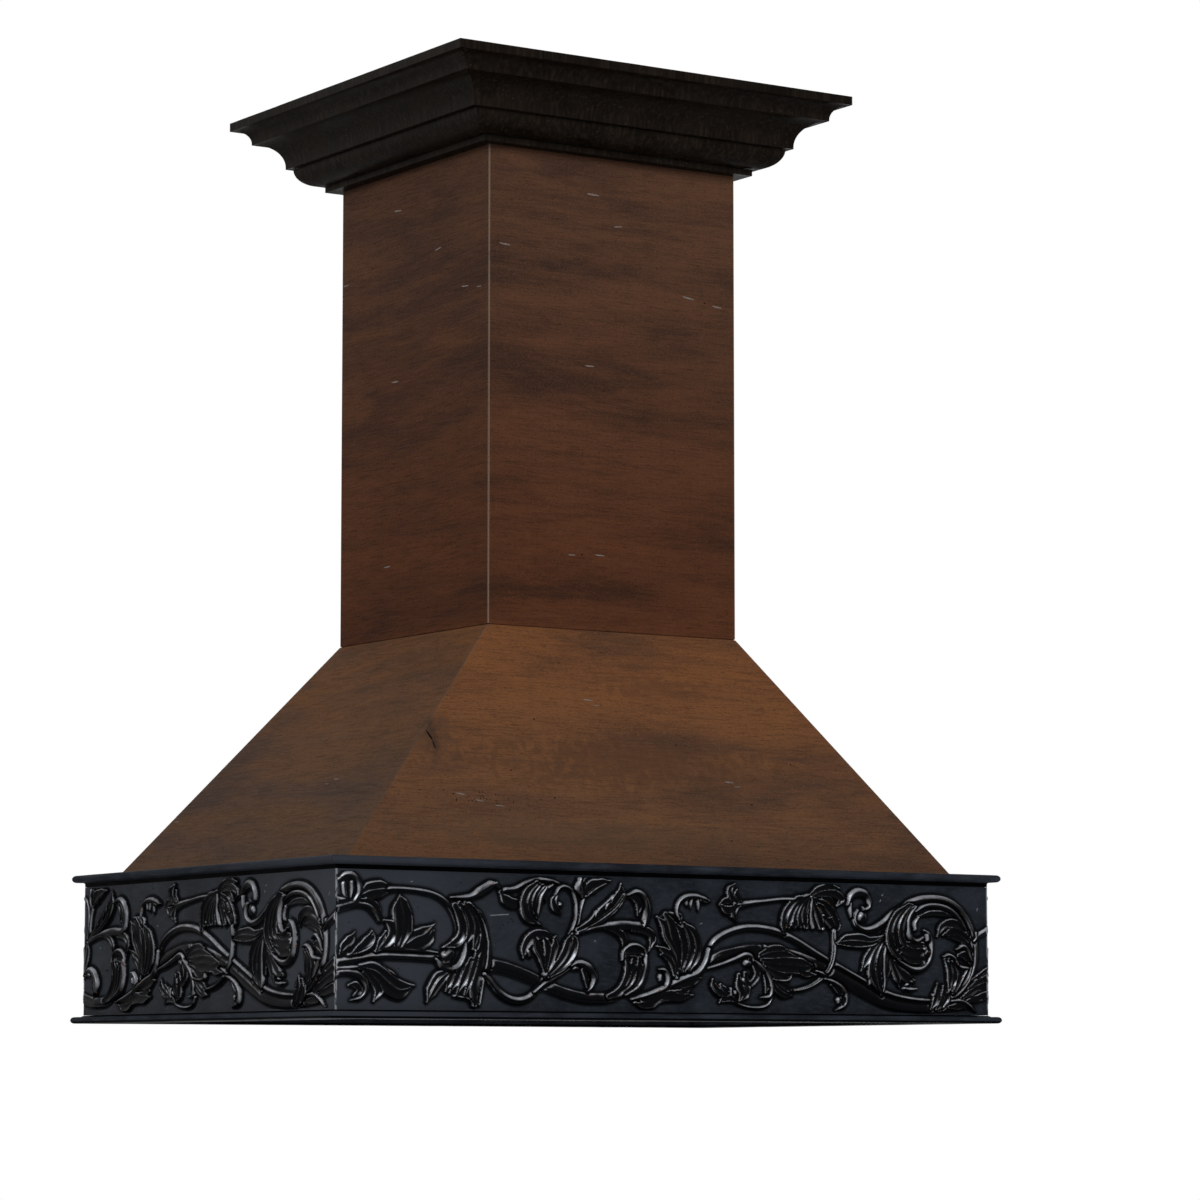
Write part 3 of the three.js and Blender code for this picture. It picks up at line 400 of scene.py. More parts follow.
# The ornament, from the front board's left end and round the corner. Each lobe is: its form, its half widths
# along its spine, its crest heights in units of crest_unit, how far the crest leans to one side, and the
# points of its spine, along and up in turn. Places and widths are in hundredths of the field's height.
# The lobes of a group share their rims, and each group lies over the groups before it.
ORNAMENT = [[
    ("bead", (2.8, 3, 3, 3.6), (4.5, 5), 0, -8, 31, 15, 35.5, 40, 38.3, 70, 37.8, 93, 37),
], [
    ("bead", (5.4, 5, 4.8, 4.6, 4.6, 4.4, 3), 4, 0, 128, 33, 145, 30.5, 165, 24.5, 182, 17.5, 200, 11.8,
     220, 8.8, 240, 10, 252, 17),
], [
    ("bead", (2.4, 2.8, 3, 3, 3, 2.8, 2.8, 2.7, 2.4, 2), (5, 5.2, 5), 0, 322, 30, 327, 38, 329, 47, 334, 54,
     345, 60, 360, 64, 375, 64.5, 392, 62, 410, 55.5, 430, 45.5, 450, 36, 470, 27, 490, 18.5, 505, 13.5,
     525, 10.5, 546, 9.5),
], [
    ("round", (3.3, 5.5, 6.6, 5, 4.4, 5.5, 5.5, 5.1, 4.6, 4.4, 4.2), (3.6, 4.2, 4.4), 0, 326, 37, 340, 41.5,
     355, 44, 375, 46, 395, 45.5, 415, 42, 432, 36, 450, 28.5, 470, 19.5, 488, 11.5, 505, 6.5, 525, 4,
     545, 4, 562, 6),
    ("round", (3.3, 3.5, 3.3, 3.1, 1.3), 5, 0, -8, 69.5, 6, 74, 17, 76.2, 26, 75, 32, 70, 36, 63),
    ("hollow", (2.7, 3.5, 3.5, 0.9), 5.5, 0, 20, 77.5, 28, 76.5, 34, 72, 36.5, 62.5),
    ("round", (3.3, 3.1, 2.9, 2.6, 1.3), 5.2, 0, 15.5, 78, 19, 84, 18.5, 91, 13, 96.5, 7, 96.5, 2, 93.5),
    ("ridge", (2, 2.2, 1), 4, 0, 6, 90, 7, 84, 9, 78.5),
    ("ridge", (2, 2.2, 1), 4, 0, 13, 91, 13.5, 86, 12, 80),
    ("round", (3.3, 2.2), 3, 0, -6, 80, 2, 78, 8, 78.5),
    ("vein", (1.4, 7.3, 7.3, 3), 5.8, 0.15, 19, 81.5, 27, 85, 36, 86.5, 46, 87),
], [
    ("bead", (2, 2, 2.2, 2.4, 2.6, 2.8), 4.6, 0, 44, 87.2, 56, 87.2, 70, 86.2, 82, 84, 92, 79, 99, 71,
     103, 62, 103.5, 55),
], [
    ("hollow", (1.4, 3.7, 4.8, 0.9), 5, 0.2, 3.5, 39, 7, 45, 12, 49, 15.5, 55),
    ("hollow", (1.4, 4.5, 5.3, 0.9), 5.2, 0.2, 12, 38.5, 20, 43, 26, 48, 29.5, 56),
    ("round", (1.3, 1.8, 2.2, 2.2, 0.7), 4.6, 0, 10, 38.5, 20, 40.5, 28, 44, 32, 50, 30, 56),
    ("hollow", (1.4, 4, 4.5, 3.5, 1.1), 6, -0.2, 33, 41.5, 42, 46.5, 47, 54, 45, 61, 39.5, 64),
    ("hollow", (1.4, 3.7, 1.1), 5, 0, 33.5, 42, 37.5, 48, 41.5, 56),
    ("hollow", (2.7, 5.9, 5.3, 4.7, 0.6), 5.6, 0.25, 50, 45, 52.5, 55, 51.5, 65, 50.5, 72, 53, 83),
    ("hollow", (2.7, 5.6, 5.3, 4, 0.6), 6.2, -0.25, 54, 45, 58.5, 56, 59, 67, 56.5, 76, 53, 83),
    ("vein", (1.7, 6.6, 6.6, 0.6), 5.6, 0.1, 56.5, 45.5, 66, 51.5, 74, 54.5, 83.5, 62.5),
    ("hollow", (1.7, 4, 4, 0.9), 4.2, 0, 58, 44.5, 70, 45.5, 79, 50, 83, 57.5),
    ("round", (1.5, 2.2, 2, 1.1), 3, 0, 36, 43, 50, 43.2, 70, 42.5, 86, 41),
    ("vein", (2.7, 7.3, 9.5, 8.2, 0.6), 6, 0.15, 20, 30, 33, 26.5, 43, 19, 53, 13.5, 66.5, 16.5),
    ("round", (1.8, 2.2, 2.2, 1.8, 1.3, 0.6), 5.2, 0, 20, 31, 30, 32.5, 40, 28, 50, 21.5, 60, 17.8,
     66, 17.2),
    ("hollow", (2.7, 4, 4.5, 1.1), 5.8, 0.2, 24, 27, 31, 20, 35.5, 13, 31.5, 5),
    ("round", (2.4, 2.9, 3.3, 3.5, 3.3, 2.2, 0.7), 5.4, 0, -8, 23.5, 6, 26.2, 17, 25, 23.5, 20, 24.5, 13,
     20, 7.5, 12, 5.5),
    ("hollow", (1.4, 3.2, 2.7, 1.1), 4, 0, 11, 16.5, 16.5, 16.5, 19.5, 12.5, 15, 9),
    ("round", (2.2, 2.2, 1.3), 3.6, 0, -8, 29.5, 5, 28.5, 20, 30),
    ("hollow", (2.7, 4, 4.5, 4.5, 0.9), 6.2, 0.25, 100, 76, 105, 67, 107, 57, 102, 49, 90, 45),
    ("hollow", (1.9, 4.3, 4.5, 1.4), 6.6, -0.2, 104, 78, 111.5, 68, 113.5, 57, 110, 47),
    ("hollow", (1.9, 4, 4.5, 1.7), 6.8, -0.2, 109, 78, 116.5, 68, 119, 57, 116.5, 44),
    ("hollow", (1.9, 4.5, 4.8, 4.5, 1.4), 7, -0.25, 112, 77.5, 121.5, 67, 125, 55, 123.5, 45, 116.5, 36),
    ("round", (1.3, 1.8, 2, 2.2, 2.2, 2.2), 6, 0, 113, 78, 120, 71, 126, 60, 129, 48, 130, 36, 127, 24),
    ("round", (1.3, 3.3, 4, 3.7, 3.1, 1.3), 6.4, 0, 84, 36.5, 90, 31, 98, 28.5, 105, 32, 109, 40,
     109.5, 48),
    ("round", (5.5, 5), 5.6, 0, 93, 38, 96.5, 41),
    ("round", (3.9, 3.3), 6, 0, 90, 33, 94, 34),
    ("vein", (2.7, 6.6, 5.9, 0.9), 6, -0.2, 95, 27, 87, 21.5, 81, 13.5, 76.5, 4.5),
    ("hollow", (2.4, 4, 1.1), 5.4, 0, 100, 28.5, 96.5, 21, 93, 13),
    ("hollow", (2.4, 4.5, 1.1), 5.8, -0.2, 107, 32, 102, 22, 96, 11.5),
    ("hollow", (2.7, 5, 1.4), 6, -0.2, 114, 36, 109, 24, 102, 10),
    ("hollow", (2.7, 5, 1.7), 6.2, -0.2, 120, 42, 116, 27, 109, 10),
    ("hollow", (2.2, 5.9, 5.9, 2.7), 6.8, -0.15, 127, 50, 122, 32, 117, 16, 117.5, 3),
    ("round", (1.3, 2.2, 2.2, 1.3), 6.6, 0, 128.5, 50, 128, 36, 124.5, 20, 121.5, 3),
    ("round", (1.3, 1.5, 1.3, 1.1), 4, 0, 100, 9.5, 106, 8.5, 112, 7.5, 117, 3),
    ("round", (1.2, 2.6, 4.4, 4.2, 1.4), 6.2, 0, 97, 82, 112, 82.5, 123, 87, 131, 91.5, 136.5, 93.5),
    ("round", (2.4, 2.2), 5.4, 0, 136.5, 92, 138, 90.5),
    ("hollow", (1.7, 4.5, 4.5, 1.1), 5, 0.2, 140, 87, 145, 81, 152, 78.5, 160, 82),
], [
    ("bead", (2.2, 2.4, 2.4, 2.2, 1.4), 4.8, 0, 144, 88.5, 153, 89.5, 162, 93.5, 174, 96.5, 186, 95.5,
     195, 93),
], [
    ("hollow", (2.7, 4.5, 4.3, 4, 0.6), 5.6, -0.2, 172, 94, 164, 87, 160.5, 77, 164, 68, 176, 63),
    ("hollow", (2.2, 3.7, 3.5, 0.9), 6, -0.2, 174, 93, 167.5, 85, 165.5, 76, 169, 68),
    ("hollow", (2.2, 3.7, 3.5, 1.1), 6.4, -0.2, 177, 92, 171.5, 85, 169.5, 76, 172, 68),
    ("round", (1.8, 3.3, 2.9, 0.9), 6.6, 0, 180, 91, 175.5, 84, 173.5, 76, 172, 69),
    ("round", (1.5, 2, 2, 0.7), 5, 0, 186, 93, 181, 90, 178.5, 85, 179.5, 80),
    ("round", (1.4, 1.8, 1.8, 1.8, 1.8, 1.8, 2.2), 5.4, 0, 188.5, 86, 192, 91, 198, 92, 204, 88, 207, 80,
     207, 70, 204.5, 62, 202, 56),
    ("hollow", (1.7, 3.2, 3.2, 0.6), 5, 0.2, 190, 86, 187, 81, 188.5, 75.5, 193.5, 71),
    ("round", (2.4, 2.2), 4.4, 0, 192.5, 78.5, 193.5, 78),
    ("round", (2.2, 1.7, 1.7, 2.2), 5, 0, 215, 86, 212, 78, 210, 70, 208.5, 60),
    ("round", (2.2, 4.4, 2.4), 6, -0.2, 213, 85, 209.5, 91, 210.5, 98),
    ("hollow", (1.9, 3.2, 1.4), 6, 0, 214, 86, 213.5, 92, 215, 98),
    ("hollow", (2.7, 6.1, 4, 0.8), 5.6, 0.1, 214, 86, 221, 92.5, 229, 95.5, 238, 97.5),
    ("round", (1.3, 1.5, 1.3, 0.4), 5, 0, 216, 85, 222, 89.5, 230, 94, 237, 96.5),
], [
    ("bead", (2, 3, 3.2, 3.2, 3.2, 3, 2.8, 2), 5.4, 0, 126, 26, 132, 20, 140, 12, 149, 7.5, 158, 6.7,
     167, 10, 175, 17.5, 181, 28),
], [
    ("bead", (1.6, 2.6, 2.6, 1.8), 5, 0, 170, 13, 180, 20, 192, 26.5, 202, 31.5),
], [
    ("hollow", (1.7, 4, 4.8, 4.3, 0.6), 6, 0.15, 180, 24, 190, 33, 197, 42, 200, 50, 203, 57.5),
    ("hollow", (1.4, 3.5, 4.3, 3.5, 0.6), 6.4, -0.15, 183, 24, 196, 33, 203, 42, 206, 50, 204, 57.5),
    ("hollow", (1.7, 3.2, 4, 1.7), 6.6, 0.1, 181, 27, 185, 37, 188, 47, 188.5, 54),
    ("hollow", (1.7, 3, 4, 1.9), 6.8, -0.1, 180, 28, 181, 38, 181, 47, 178, 54.5),
    ("hollow", (1.7, 3.5, 4.5, 2.2), 6.4, 0.1, 179, 28, 176, 38, 172, 46, 170, 55),
    ("hollow", (1.6, 3.8, 4.8, 5, 4.4, 1.2), 6.8, -0.15, 186, 53, 178, 56, 170, 55, 164.5, 51, 161, 45,
     160, 38),
    ("round", (2.9, 2.2), 5.6, 0, 164, 43, 166, 40),
    ("round", (3.3, 2.9), 7.4, 0, 180, 27, 181, 25),
    ("round", (1.5, 2.4, 3.3, 4, 3.7, 2.4, 0.9), 6.6, 0, 202, 33, 207, 35, 213, 34.5, 219, 31, 223.5, 24.5,
     221, 18, 217.5, 14.5),
    ("round", (2.4, 2), 5, 0, 206, 31.5, 208, 31),
    ("hollow", (1.7, 2.7, 1.1), 5, 0, 213, 30, 216, 24, 217, 17),
    ("hollow", (1.9, 4, 6.1, 6.6, 5.3, 0.9), 5.4, -0.15, 208, 60, 219, 64, 230, 72, 240, 79, 247, 87,
     247.5, 95.5),
    ("ridge", (1.6, 2.2, 0.4), 5, 0, 224, 68, 225, 73, 230, 76.5),
    ("ridge", (1.8, 2.4, 0.4), 5.2, 0, 232, 73, 235, 79, 239, 81.5),
    ("ridge", (1.8, 2.4, 0.6), 5.4, 0, 239, 78, 239.5, 84, 243, 88),
    ("round", (1.1, 1.3, 1.5, 1.3, 0.7), 5.8, 0, 208, 58.5, 220, 63.5, 232, 70, 243, 78, 250, 87),
    ("round", (1.6, 2.4, 3.4, 4.2, 3.4), 5.4, 0, 208, 57, 222, 61.5, 236, 63.5, 250, 64, 266, 64),
    ("hollow", (1.8, 3.4, 3.6, 0.9), 6.2, 0.2, 234, 61.5, 244, 59.5, 250.5, 53, 249, 45.5),
    ("hollow", (1, 3.4, 3.4, 1.2), 4.8, 0, 255, 85.5, 261, 84, 264, 79, 263, 72),
    ("round", (1.2, 2.6, 3.6, 4.4, 4.2, 3), 6.4, 0, 253, 87, 262, 89.5, 269, 85, 271.5, 77, 270.5, 70,
     267.5, 63),
    ("hollow", (2.4, 3.8, 3.8, 0.9), 6.4, 0.15, 258, 61, 269, 60.5, 276, 55, 273, 44.5),
], [
    ("hollow", (2.7, 4.3, 4.5, 4, 1.9), 5.6, 0.2, 236, 10, 246, 14, 252, 22, 254, 31, 252, 40),
    ("hollow", (2.2, 3.5, 3.7, 1.9), 6, 0.2, 246, 13, 255, 20, 258.5, 29, 258, 38),
    ("hollow", (2.2, 3.7, 4, 2.2), 6.4, 0.2, 250, 13, 260, 20, 263.5, 30, 264, 40),
    ("round", (2.2, 3.7, 4, 2.2), 6.6, 0, 252, 12, 264, 19, 269, 30, 270, 42),
    ("round", (1.4, 1.8, 2, 2, 1.8, 1.4), 5.2, 0, 248.5, 38, 250, 45, 256, 49, 263, 49, 269.5, 45, 271, 38),
    ("hollow", (4, 4), 3.4, 0, 254, 44, 266, 44),
], [
    ("flat", (3, 4, 4, 3), 4.6, 0, 284, 69, 290, 72, 296, 71, 299, 66),
], [
    ("hollow", (0.9, 4, 4.5, 4.5, 4, 1.9), 6, -0.25, 280, 71.5, 286.5, 65, 289, 57, 294, 50, 298.5, 42,
     299, 30),
    ("hollow", (2.7, 5.3, 4.8, 4, 1.7), 5.4, -0.2, 288, 73, 293, 65, 295, 56, 300, 45, 301, 33),
    ("hollow", (1.9, 3.7, 4.3, 4, 1.7), 6.6, -0.2, 297, 66, 302, 60, 304.5, 50, 304.5, 40, 302, 30),
    ("hollow", (1.7, 4.5, 4.8, 4.5, 1.9), 6.8, -0.2, 303, 67, 308.5, 60, 311.5, 50, 310, 40, 305, 30),
    ("hollow", (1.7, 4, 4.5, 4.5, 1.9), 7, -0.2, 305, 66.5, 313, 60, 317, 50, 316, 41, 310, 31),
    ("round", (1.8, 1.5, 1.5), 4, 0, 302, 67, 303, 72, 300, 74),
    ("hollow", (0.9, 3, 3.2, 3.5, 1.7), 6.2, 0.2, 280, 49, 287, 45.5, 294, 42, 298, 35, 298, 26),
    ("hollow", (1.1, 2.7, 3, 1.4), 5.4, 0.2, 284, 42.5, 290, 40, 295, 34, 296, 27),
    ("round", (0.9, 2.2, 2.9, 2.9, 1.3), 6.2, 0, 282, 31.5, 287, 30.5, 290.5, 26, 289.5, 20, 284, 14.5),
    ("round", (2.4, 2), 4.4, 0, 283.5, 26, 284, 23.5),
    ("round", (1.3, 2.4, 2.9, 3.1, 3.3, 3.3, 3.1, 2.2), 6, 0, 257, 8.5, 270, 11.5, 283, 15.5, 295, 20.5,
     308, 25.5, 318, 29, 325, 37, 328, 47),
    ("hollow", (1.1, 3.2, 3.7, 2.7), 5, 0, 260, 6, 268, 4, 276, 5, 284, 9),
    ("hollow", (1.4, 4, 5, 4.5, 0.8), 5.4, 0.1, 266, 8, 280, 9, 292, 11.5, 302, 11, 314, 12),
    ("hollow", (1.4, 3.5, 3.7, 1.1), 5.2, 0.1, 296, 18.5, 306, 20.5, 314, 22.5, 321, 25),
    ("hollow", (1.4, 3, 1.4), 4, 0, 298, 15, 305, 14.5, 312, 17),
    ("round", (1.3, 1.7, 2, 2.4, 2.7, 2.2, 0.6), 5.6, 0, 301, 69, 298.5, 75, 300, 82, 306, 86.5, 315, 87.5,
     323, 86, 330, 84),
    ("ridge", (1.6, 1.6, 0.4), 4.6, 0, 308, 86, 308, 82, 308.5, 79),
    ("ridge", (1.6, 1.6, 0.4), 4.6, 0, 313, 86, 312, 82, 311.5, 78),
    ("ridge", (1.8, 1.8, 0.4), 4.6, 0, 318, 86, 319, 81, 318.5, 76),
    ("round", (1.5, 1.3, 0.6), 5.6, 0, 320, 84.5, 325, 83, 329, 83.8),
    ("round", (3.5, 2.4, 1.8, 1.7, 1.8), 4.6, 0, 356, 81.5, 368, 83.5, 382, 85.2, 396, 86.8, 408, 87.2),
    ("hollow", (0.9, 3.5, 3.5, 1.7), 5.8, -0.2, 353, 98, 348, 93, 349, 87, 355, 83.5),
    ("hollow", (1.4, 2.7, 1.7), 4.6, 0, 355, 93, 354, 89, 358, 85),
    ("hollow", (1.1, 3.2, 1.7), 5.4, 0, 338.5, 82, 344, 84.5, 351, 83.5),
    ("hollow", (1.1, 4, 3.5, 1.7), 5.8, 0.1, 338.5, 81.5, 345, 77.5, 350, 78.5, 353, 81),
    ("hollow", (0.9, 3.5, 3.2, 1.7), 5.6, 0.2, 354.5, 69, 351.5, 74, 353.5, 79, 358, 82),
    ("hollow", (1.9, 3.7, 4, 3.5, 1.1), 6, -0.2, 423, 90, 410, 86, 401, 77, 398.5, 68, 399, 60),
    ("hollow", (1.9, 3.5, 3.7, 2.7), 5.6, -0.15, 423, 89.5, 412, 83, 406, 74, 403, 66),
    ("round", (2.9, 2.6), 5, 0, 405, 67.5, 406, 67),
    ("hollow", (1.7, 3.2, 3.5, 2.4), 6, -0.15, 423.5, 89.5, 415, 83, 410, 74, 409, 66),
    ("hollow", (1.7, 3.5, 3.7, 2.7), 6.4, -0.15, 424, 89, 418, 83, 414, 74, 414, 66.5),
    ("hollow", (1.7, 3.2, 3.5, 2.4), 6.6, 0.15, 424.5, 89, 421, 83, 418.5, 74, 420, 66),
    ("round", (1.3, 2.9, 3.3, 2.2), 6.8, 0, 425, 88.5, 424.5, 82, 424, 74, 427, 65.5),
    ("hollow", (1.7, 3.5, 4, 3.2), 6.4, 0.15, 426, 88.5, 429, 81, 432, 74, 435, 66),
    ("hollow", (1.7, 3.7, 4.5, 4, 1.7), 6.2, 0.15, 426.5, 88.5, 435, 81, 440, 73, 446, 66, 448, 61.5),
    ("hollow", (1.7, 3.5, 4, 3.5, 1.4), 6.6, 0.2, 428, 88, 438, 83.5, 445, 77, 450, 68, 448, 61),
    ("round", (2.4, 2), 5.6, 0, 431, 84.5, 437, 83),
    ("round", (1.5, 2.2, 1.1), 6.8, 0, 436, 75.5, 441, 73, 445, 74.5),
    ("hollow", (1.7, 3.5, 3.2, 1.1), 5.6, 0.1, 424, 90.5, 432, 95, 442, 97.5, 453, 96.5),
    ("hollow", (1.7, 3.7, 3.7, 3.5, 1.1), 6.2, 0.2, 427, 90, 438, 93, 448, 92, 454, 88, 450, 83),
    ("hollow", (1.7, 3, 1.1), 5.6, 0, 436, 89, 443, 87, 447.5, 82),
    ("round", (2.4, 2, 1.5), 5.2, 0, 422, 90, 415, 88.5, 406, 87),
], [
    ("bead", (2.4, 2.5, 2.5, 2.4, 2, 1.8, 1.4), 5.8, 0, 447, 63, 447.5, 54, 446.5, 44, 443, 35, 436, 27,
     426, 21, 415, 17.5, 403, 16.2),
], [
    ("round", (1.5, 2.2, 2.6, 2.9, 2.6, 1.1), 5.2, 0, 328, 33, 340, 36, 352, 40, 362, 43.5, 368, 42,
     369.5, 37),
    ("round", (3.7, 3.3), 5.6, 0, 364, 37.5, 366, 37),
    ("hollow", (1.9, 3.5, 3.7, 3.2, 1.4), 6.2, -0.2, 366, 40, 372, 34, 373, 27, 368, 21.5, 363, 20.5),
    ("hollow", (1.9, 4, 3.7, 1.4), 6, 0.15, 356, 28, 356.5, 20, 359, 13, 357, 8.5),
    ("hollow", (2.2, 4, 3.7, 1.4), 6.4, -0.15, 362, 29, 363.5, 20, 363, 13, 359, 9),
    ("round", (3.3, 2.6), 6, 0, 360, 24, 361, 22),
    ("hollow", (1.1, 3.2, 3.7, 2.2), 5.4, -0.15, 332, 24.5, 332.5, 20, 337, 15, 345, 12),
    ("hollow", (1.4, 3, 1.7), 5, 0, 339, 20.5, 342, 17, 347, 13.5),
    ("round", (1.5, 2.2, 1.1), 5, 0, 348.5, 17.5, 348.5, 13, 350, 10),
    ("round", (2.2, 2), 5, 0, 352.5, 14.5, 353, 13.5),
    ("hollow", (0.9, 2.7, 3, 1.1), 4.6, 0, 338, 6.5, 342, 9, 350, 9.5, 356, 5.5),
    ("round", (0.9, 1.3, 1.5, 1.5, 1.3), 3.8, 0, 350, 8, 362, 4, 374, 3, 383, 5, 388, 11),
    ("round", (1.5, 2.9, 3.3, 3.3, 2.4, 0.7), 6, 0, 369, 40, 377, 34, 384, 27, 387, 19, 385, 12, 377, 11),
    ("hollow", (1.7, 3, 1.4), 4.6, 0, 380, 30, 383, 22, 382, 15),
    ("hollow", (1.9, 3.5, 3, 0.8), 5.4, 0.15, 376, 44, 386, 48, 395, 49, 402, 48),
    ("round", (1.5, 1.5), 4.4, 0, 381, 50.5, 383, 49.5),
    ("hollow", (1.7, 3.5, 3.5, 0.9), 5.2, 0, 376, 42, 388, 44, 399, 44.5, 412, 42.5),
    ("hollow", (1.9, 4.3, 4.5, 4, 0.9), 5.8, 0.1, 378, 40, 390, 38.5, 402, 39.5, 414, 38.5, 426, 36.5),
    ("hollow", (1.9, 4, 4.5, 4, 0.9), 5.4, -0.1, 380, 37, 392, 34, 405, 33.5, 417, 32.5, 427, 35),
    ("hollow", (1.9, 4.5, 4.5, 1.1), 5.8, 0.2, 382, 34, 392, 29, 400, 27, 406, 29.5),
    ("round", (1.1, 2, 2, 0.7), 6, 0, 386, 25.5, 395, 23.8, 403, 25, 406, 30),
    ("hollow", (1.9, 3.2, 0.9), 4.8, 0, 412, 32, 420, 29.5, 430, 29),
    ("round", (1.1, 2.2, 1.1), 5.6, 0, 430, 32, 435, 30, 439, 28),
    ("vein", (1.9, 4.8, 4.8, 0.8), 5.6, 0.1, 388, 23.5, 393, 18, 399, 14.5, 407, 12),
    ("hollow", (1.7, 3.5, 1.1), 4.8, 0, 393, 23, 400, 19.5, 406, 16.5),
    ("round", (1.1, 2.4, 2.9, 3.1, 2.6, 0.6), 5.6, 0, 438, 26, 446, 23.5, 454, 19, 458.5, 13, 457, 6,
     448, 1.8),
    ("hollow", (1.9, 3, 1.1), 4.8, 0, 445, 22, 451, 17, 454, 12),
    ("round", (2.4, 2), 4.6, 0, 451, 10, 451.5, 8),
    ("hollow", (1.7, 2.4, 0.9), 4.8, 0, 456, 14, 454.5, 9, 455.5, 4.5),
    ("round", (1.3, 3.7, 4, 3.7, 3.1, 2.4, 1.8, 0.9), 5.8, 0, 460, 84, 464, 91, 470, 94, 477, 93, 481, 88.5,
     481.5, 83, 477, 80.5, 474.5, 82.5),
    ("round", (2.2, 2.4, 1.8), 5.6, 0, 463, 85, 463, 80, 464.5, 74.5),
    ("round", (5, 4.4), 4.6, 0, 475, 74.5, 476, 74.5),
], [
    ("bead", (1.2, 1.8, 2.2, 2.6, 3, 3.2, 3.4, 2), 5.4, 0, 470, 80, 467, 75, 468.5, 69, 475, 65, 484, 65.5,
     494, 70, 505, 77.5, 518, 85),
], [
    ("vein", (0.9, 5.6, 6.6, 4.5, 1.7), 5, 0.1, 449, 54, 460, 56, 472, 56, 484, 55.5, 496, 60),
    ("round", (0.9, 1.3, 1.5, 1.5, 1.1), 5.4, 0, 450, 53, 462, 51.5, 476, 51.5, 488, 54, 497, 60),
    ("hollow", (1.7, 3.7, 4.3, 1.1), 6, -0.15, 495, 58.5, 486, 51, 479, 42, 473.5, 32.5),
    ("hollow", (1.7, 4, 4.5, 4.5, 0.9), 6.2, -0.15, 496, 58, 488, 48, 484, 37, 484, 27, 493, 13.5),
    ("hollow", (1.7, 3.7, 4, 4, 1.1), 6.6, -0.1, 497, 57, 492, 46, 489.5, 35, 490, 25, 493.5, 16),
    ("round", (1.3, 2.9, 3.3, 2.6, 0.9), 6.4, 0, 497.5, 56, 495.5, 45, 495, 34, 495.5, 24, 494, 16),
    ("hollow", (1.7, 3.2, 3, 1.1), 6, 0.15, 499, 54, 500, 44, 499, 34, 498.5, 26),
    ("hollow", (1.9, 3.7, 3.7, 1.1), 5.6, 0.1, 501, 46, 504, 37, 508, 28, 511, 20.5),
    ("hollow", (1.9, 3.7, 4.3, 1.7), 5.8, 0.15, 503, 44, 509, 35, 516, 28, 525, 25),
    ("round", (1.3, 2.9, 1.3), 5.4, 0, 507, 41, 516, 34, 522, 28),
    ("round", (1.5, 2.2, 0.9), 5.4, 0, 515, 19.5, 521, 18.5, 528, 19.2),
    ("round", (2, 1.8), 4.8, 0, 518, 22.5, 519, 22.5),
    ("round", (1.8, 1.8), 5, 0, 522.5, 26, 523, 25),
    ("round", (1.5, 1.3), 4.6, 0, 481.5, 28, 481, 22),
], [
    ("bead", (2, 3.4, 4, 4.4, 4.6, 4.6, 4.2, 3.8, 3.4, 3, 2.6, 2), 5.6, 0, 514, 83, 522, 87, 533, 89.5,
     546, 90, 558, 88, 569, 82.5, 578, 74, 584, 63, 586.5, 51, 585.5, 39, 581, 28, 573, 19, 563, 12.5,
     552, 9),
], [
    ("round", (1.1, 2.2, 2.6, 2.9, 2.9, 2.6, 1.3), 5, 0, 527, 80, 536, 84.5, 547, 85.5, 558, 83.5,
     567, 78.5, 574, 71, 579, 62),
    ("hollow", (1.1, 2.4, 2.7, 1.1), 3.6, 0, 530, 76, 542, 79, 553, 79, 563, 77),
    ("hollow", (1.7, 4, 4.3, 4.3, 3.7, 1.1), 6.2, -0.2, 520, 85.5, 508, 76.5, 502, 66, 501, 56, 506, 47,
     515, 42),
    ("hollow", (1.7, 3.5, 3.7, 3.7, 1.1), 6, -0.2, 522, 85, 512, 76, 507, 66, 507, 57, 512, 49),
    ("hollow", (1.7, 4, 4.3, 4, 1.4), 6.6, -0.2, 524, 84.5, 516.5, 76, 512.5, 66, 513, 57, 520, 50),
    ("round", (1.3, 3.1, 3.3, 3.1, 2.6, 0.9), 6.8, 0, 527, 84, 521, 77, 519, 69, 521, 61, 527, 56.5,
     534, 60),
    ("round", (1.3, 2.4, 2), 5.4, 0, 530, 76, 526.5, 71, 527, 66),
    ("round", (1.1, 2.4, 2.9, 3.1, 3.3, 3.3, 3.1, 2.2, 0.7), 6.2, 0, 535, 65.5, 540, 62, 542.5, 55, 542, 47,
     539, 40, 532, 35, 524, 34.5, 514, 38.5, 506, 44),
    ("round", (2.9, 2.4), 6.2, 0, 538.5, 62, 539, 58),
    ("hollow", (1.9, 5.3, 6.6, 4), 5.8, 0, 510, 50, 520, 48.5, 529, 47.5, 536, 49),
    ("round", (5, 4.4), 5.8, 0, 535.5, 49, 537, 48),
    ("hollow", (1.7, 4, 4), 5.2, 0, 512, 46, 522, 42, 533, 42),
    ("hollow", (1.9, 4, 2.7), 4.4, 0, 518, 55, 526, 53.5, 534, 54),
    ("hollow", (1.7, 3.7, 4, 3.7, 0.9), 6, -0.2, 579, 64, 570, 70, 561, 71.5, 553, 68, 548.5, 60.5),
    ("hollow", (1.7, 3.7, 4, 1.4), 4.8, -0.15, 580, 58, 572, 63, 563, 64.5, 555, 62),
    ("hollow", (1.7, 3.2, 3, 1.1), 4.2, -0.1, 582, 50, 576, 57, 568, 60, 560, 60.5),
    ("round", (1.3, 2.4, 2.4, 0.9), 6, 0, 583, 42, 579, 50, 574, 53.5, 568, 51),
    ("hollow", (1.9, 4, 1.9), 4, 0, 582, 40, 576, 46, 570, 46),
    ("round", (0.7, 1.8, 2.2, 2.4, 1.5), 6, 0, 554, 45, 560, 46.2, 566, 43, 570, 37, 579, 36),
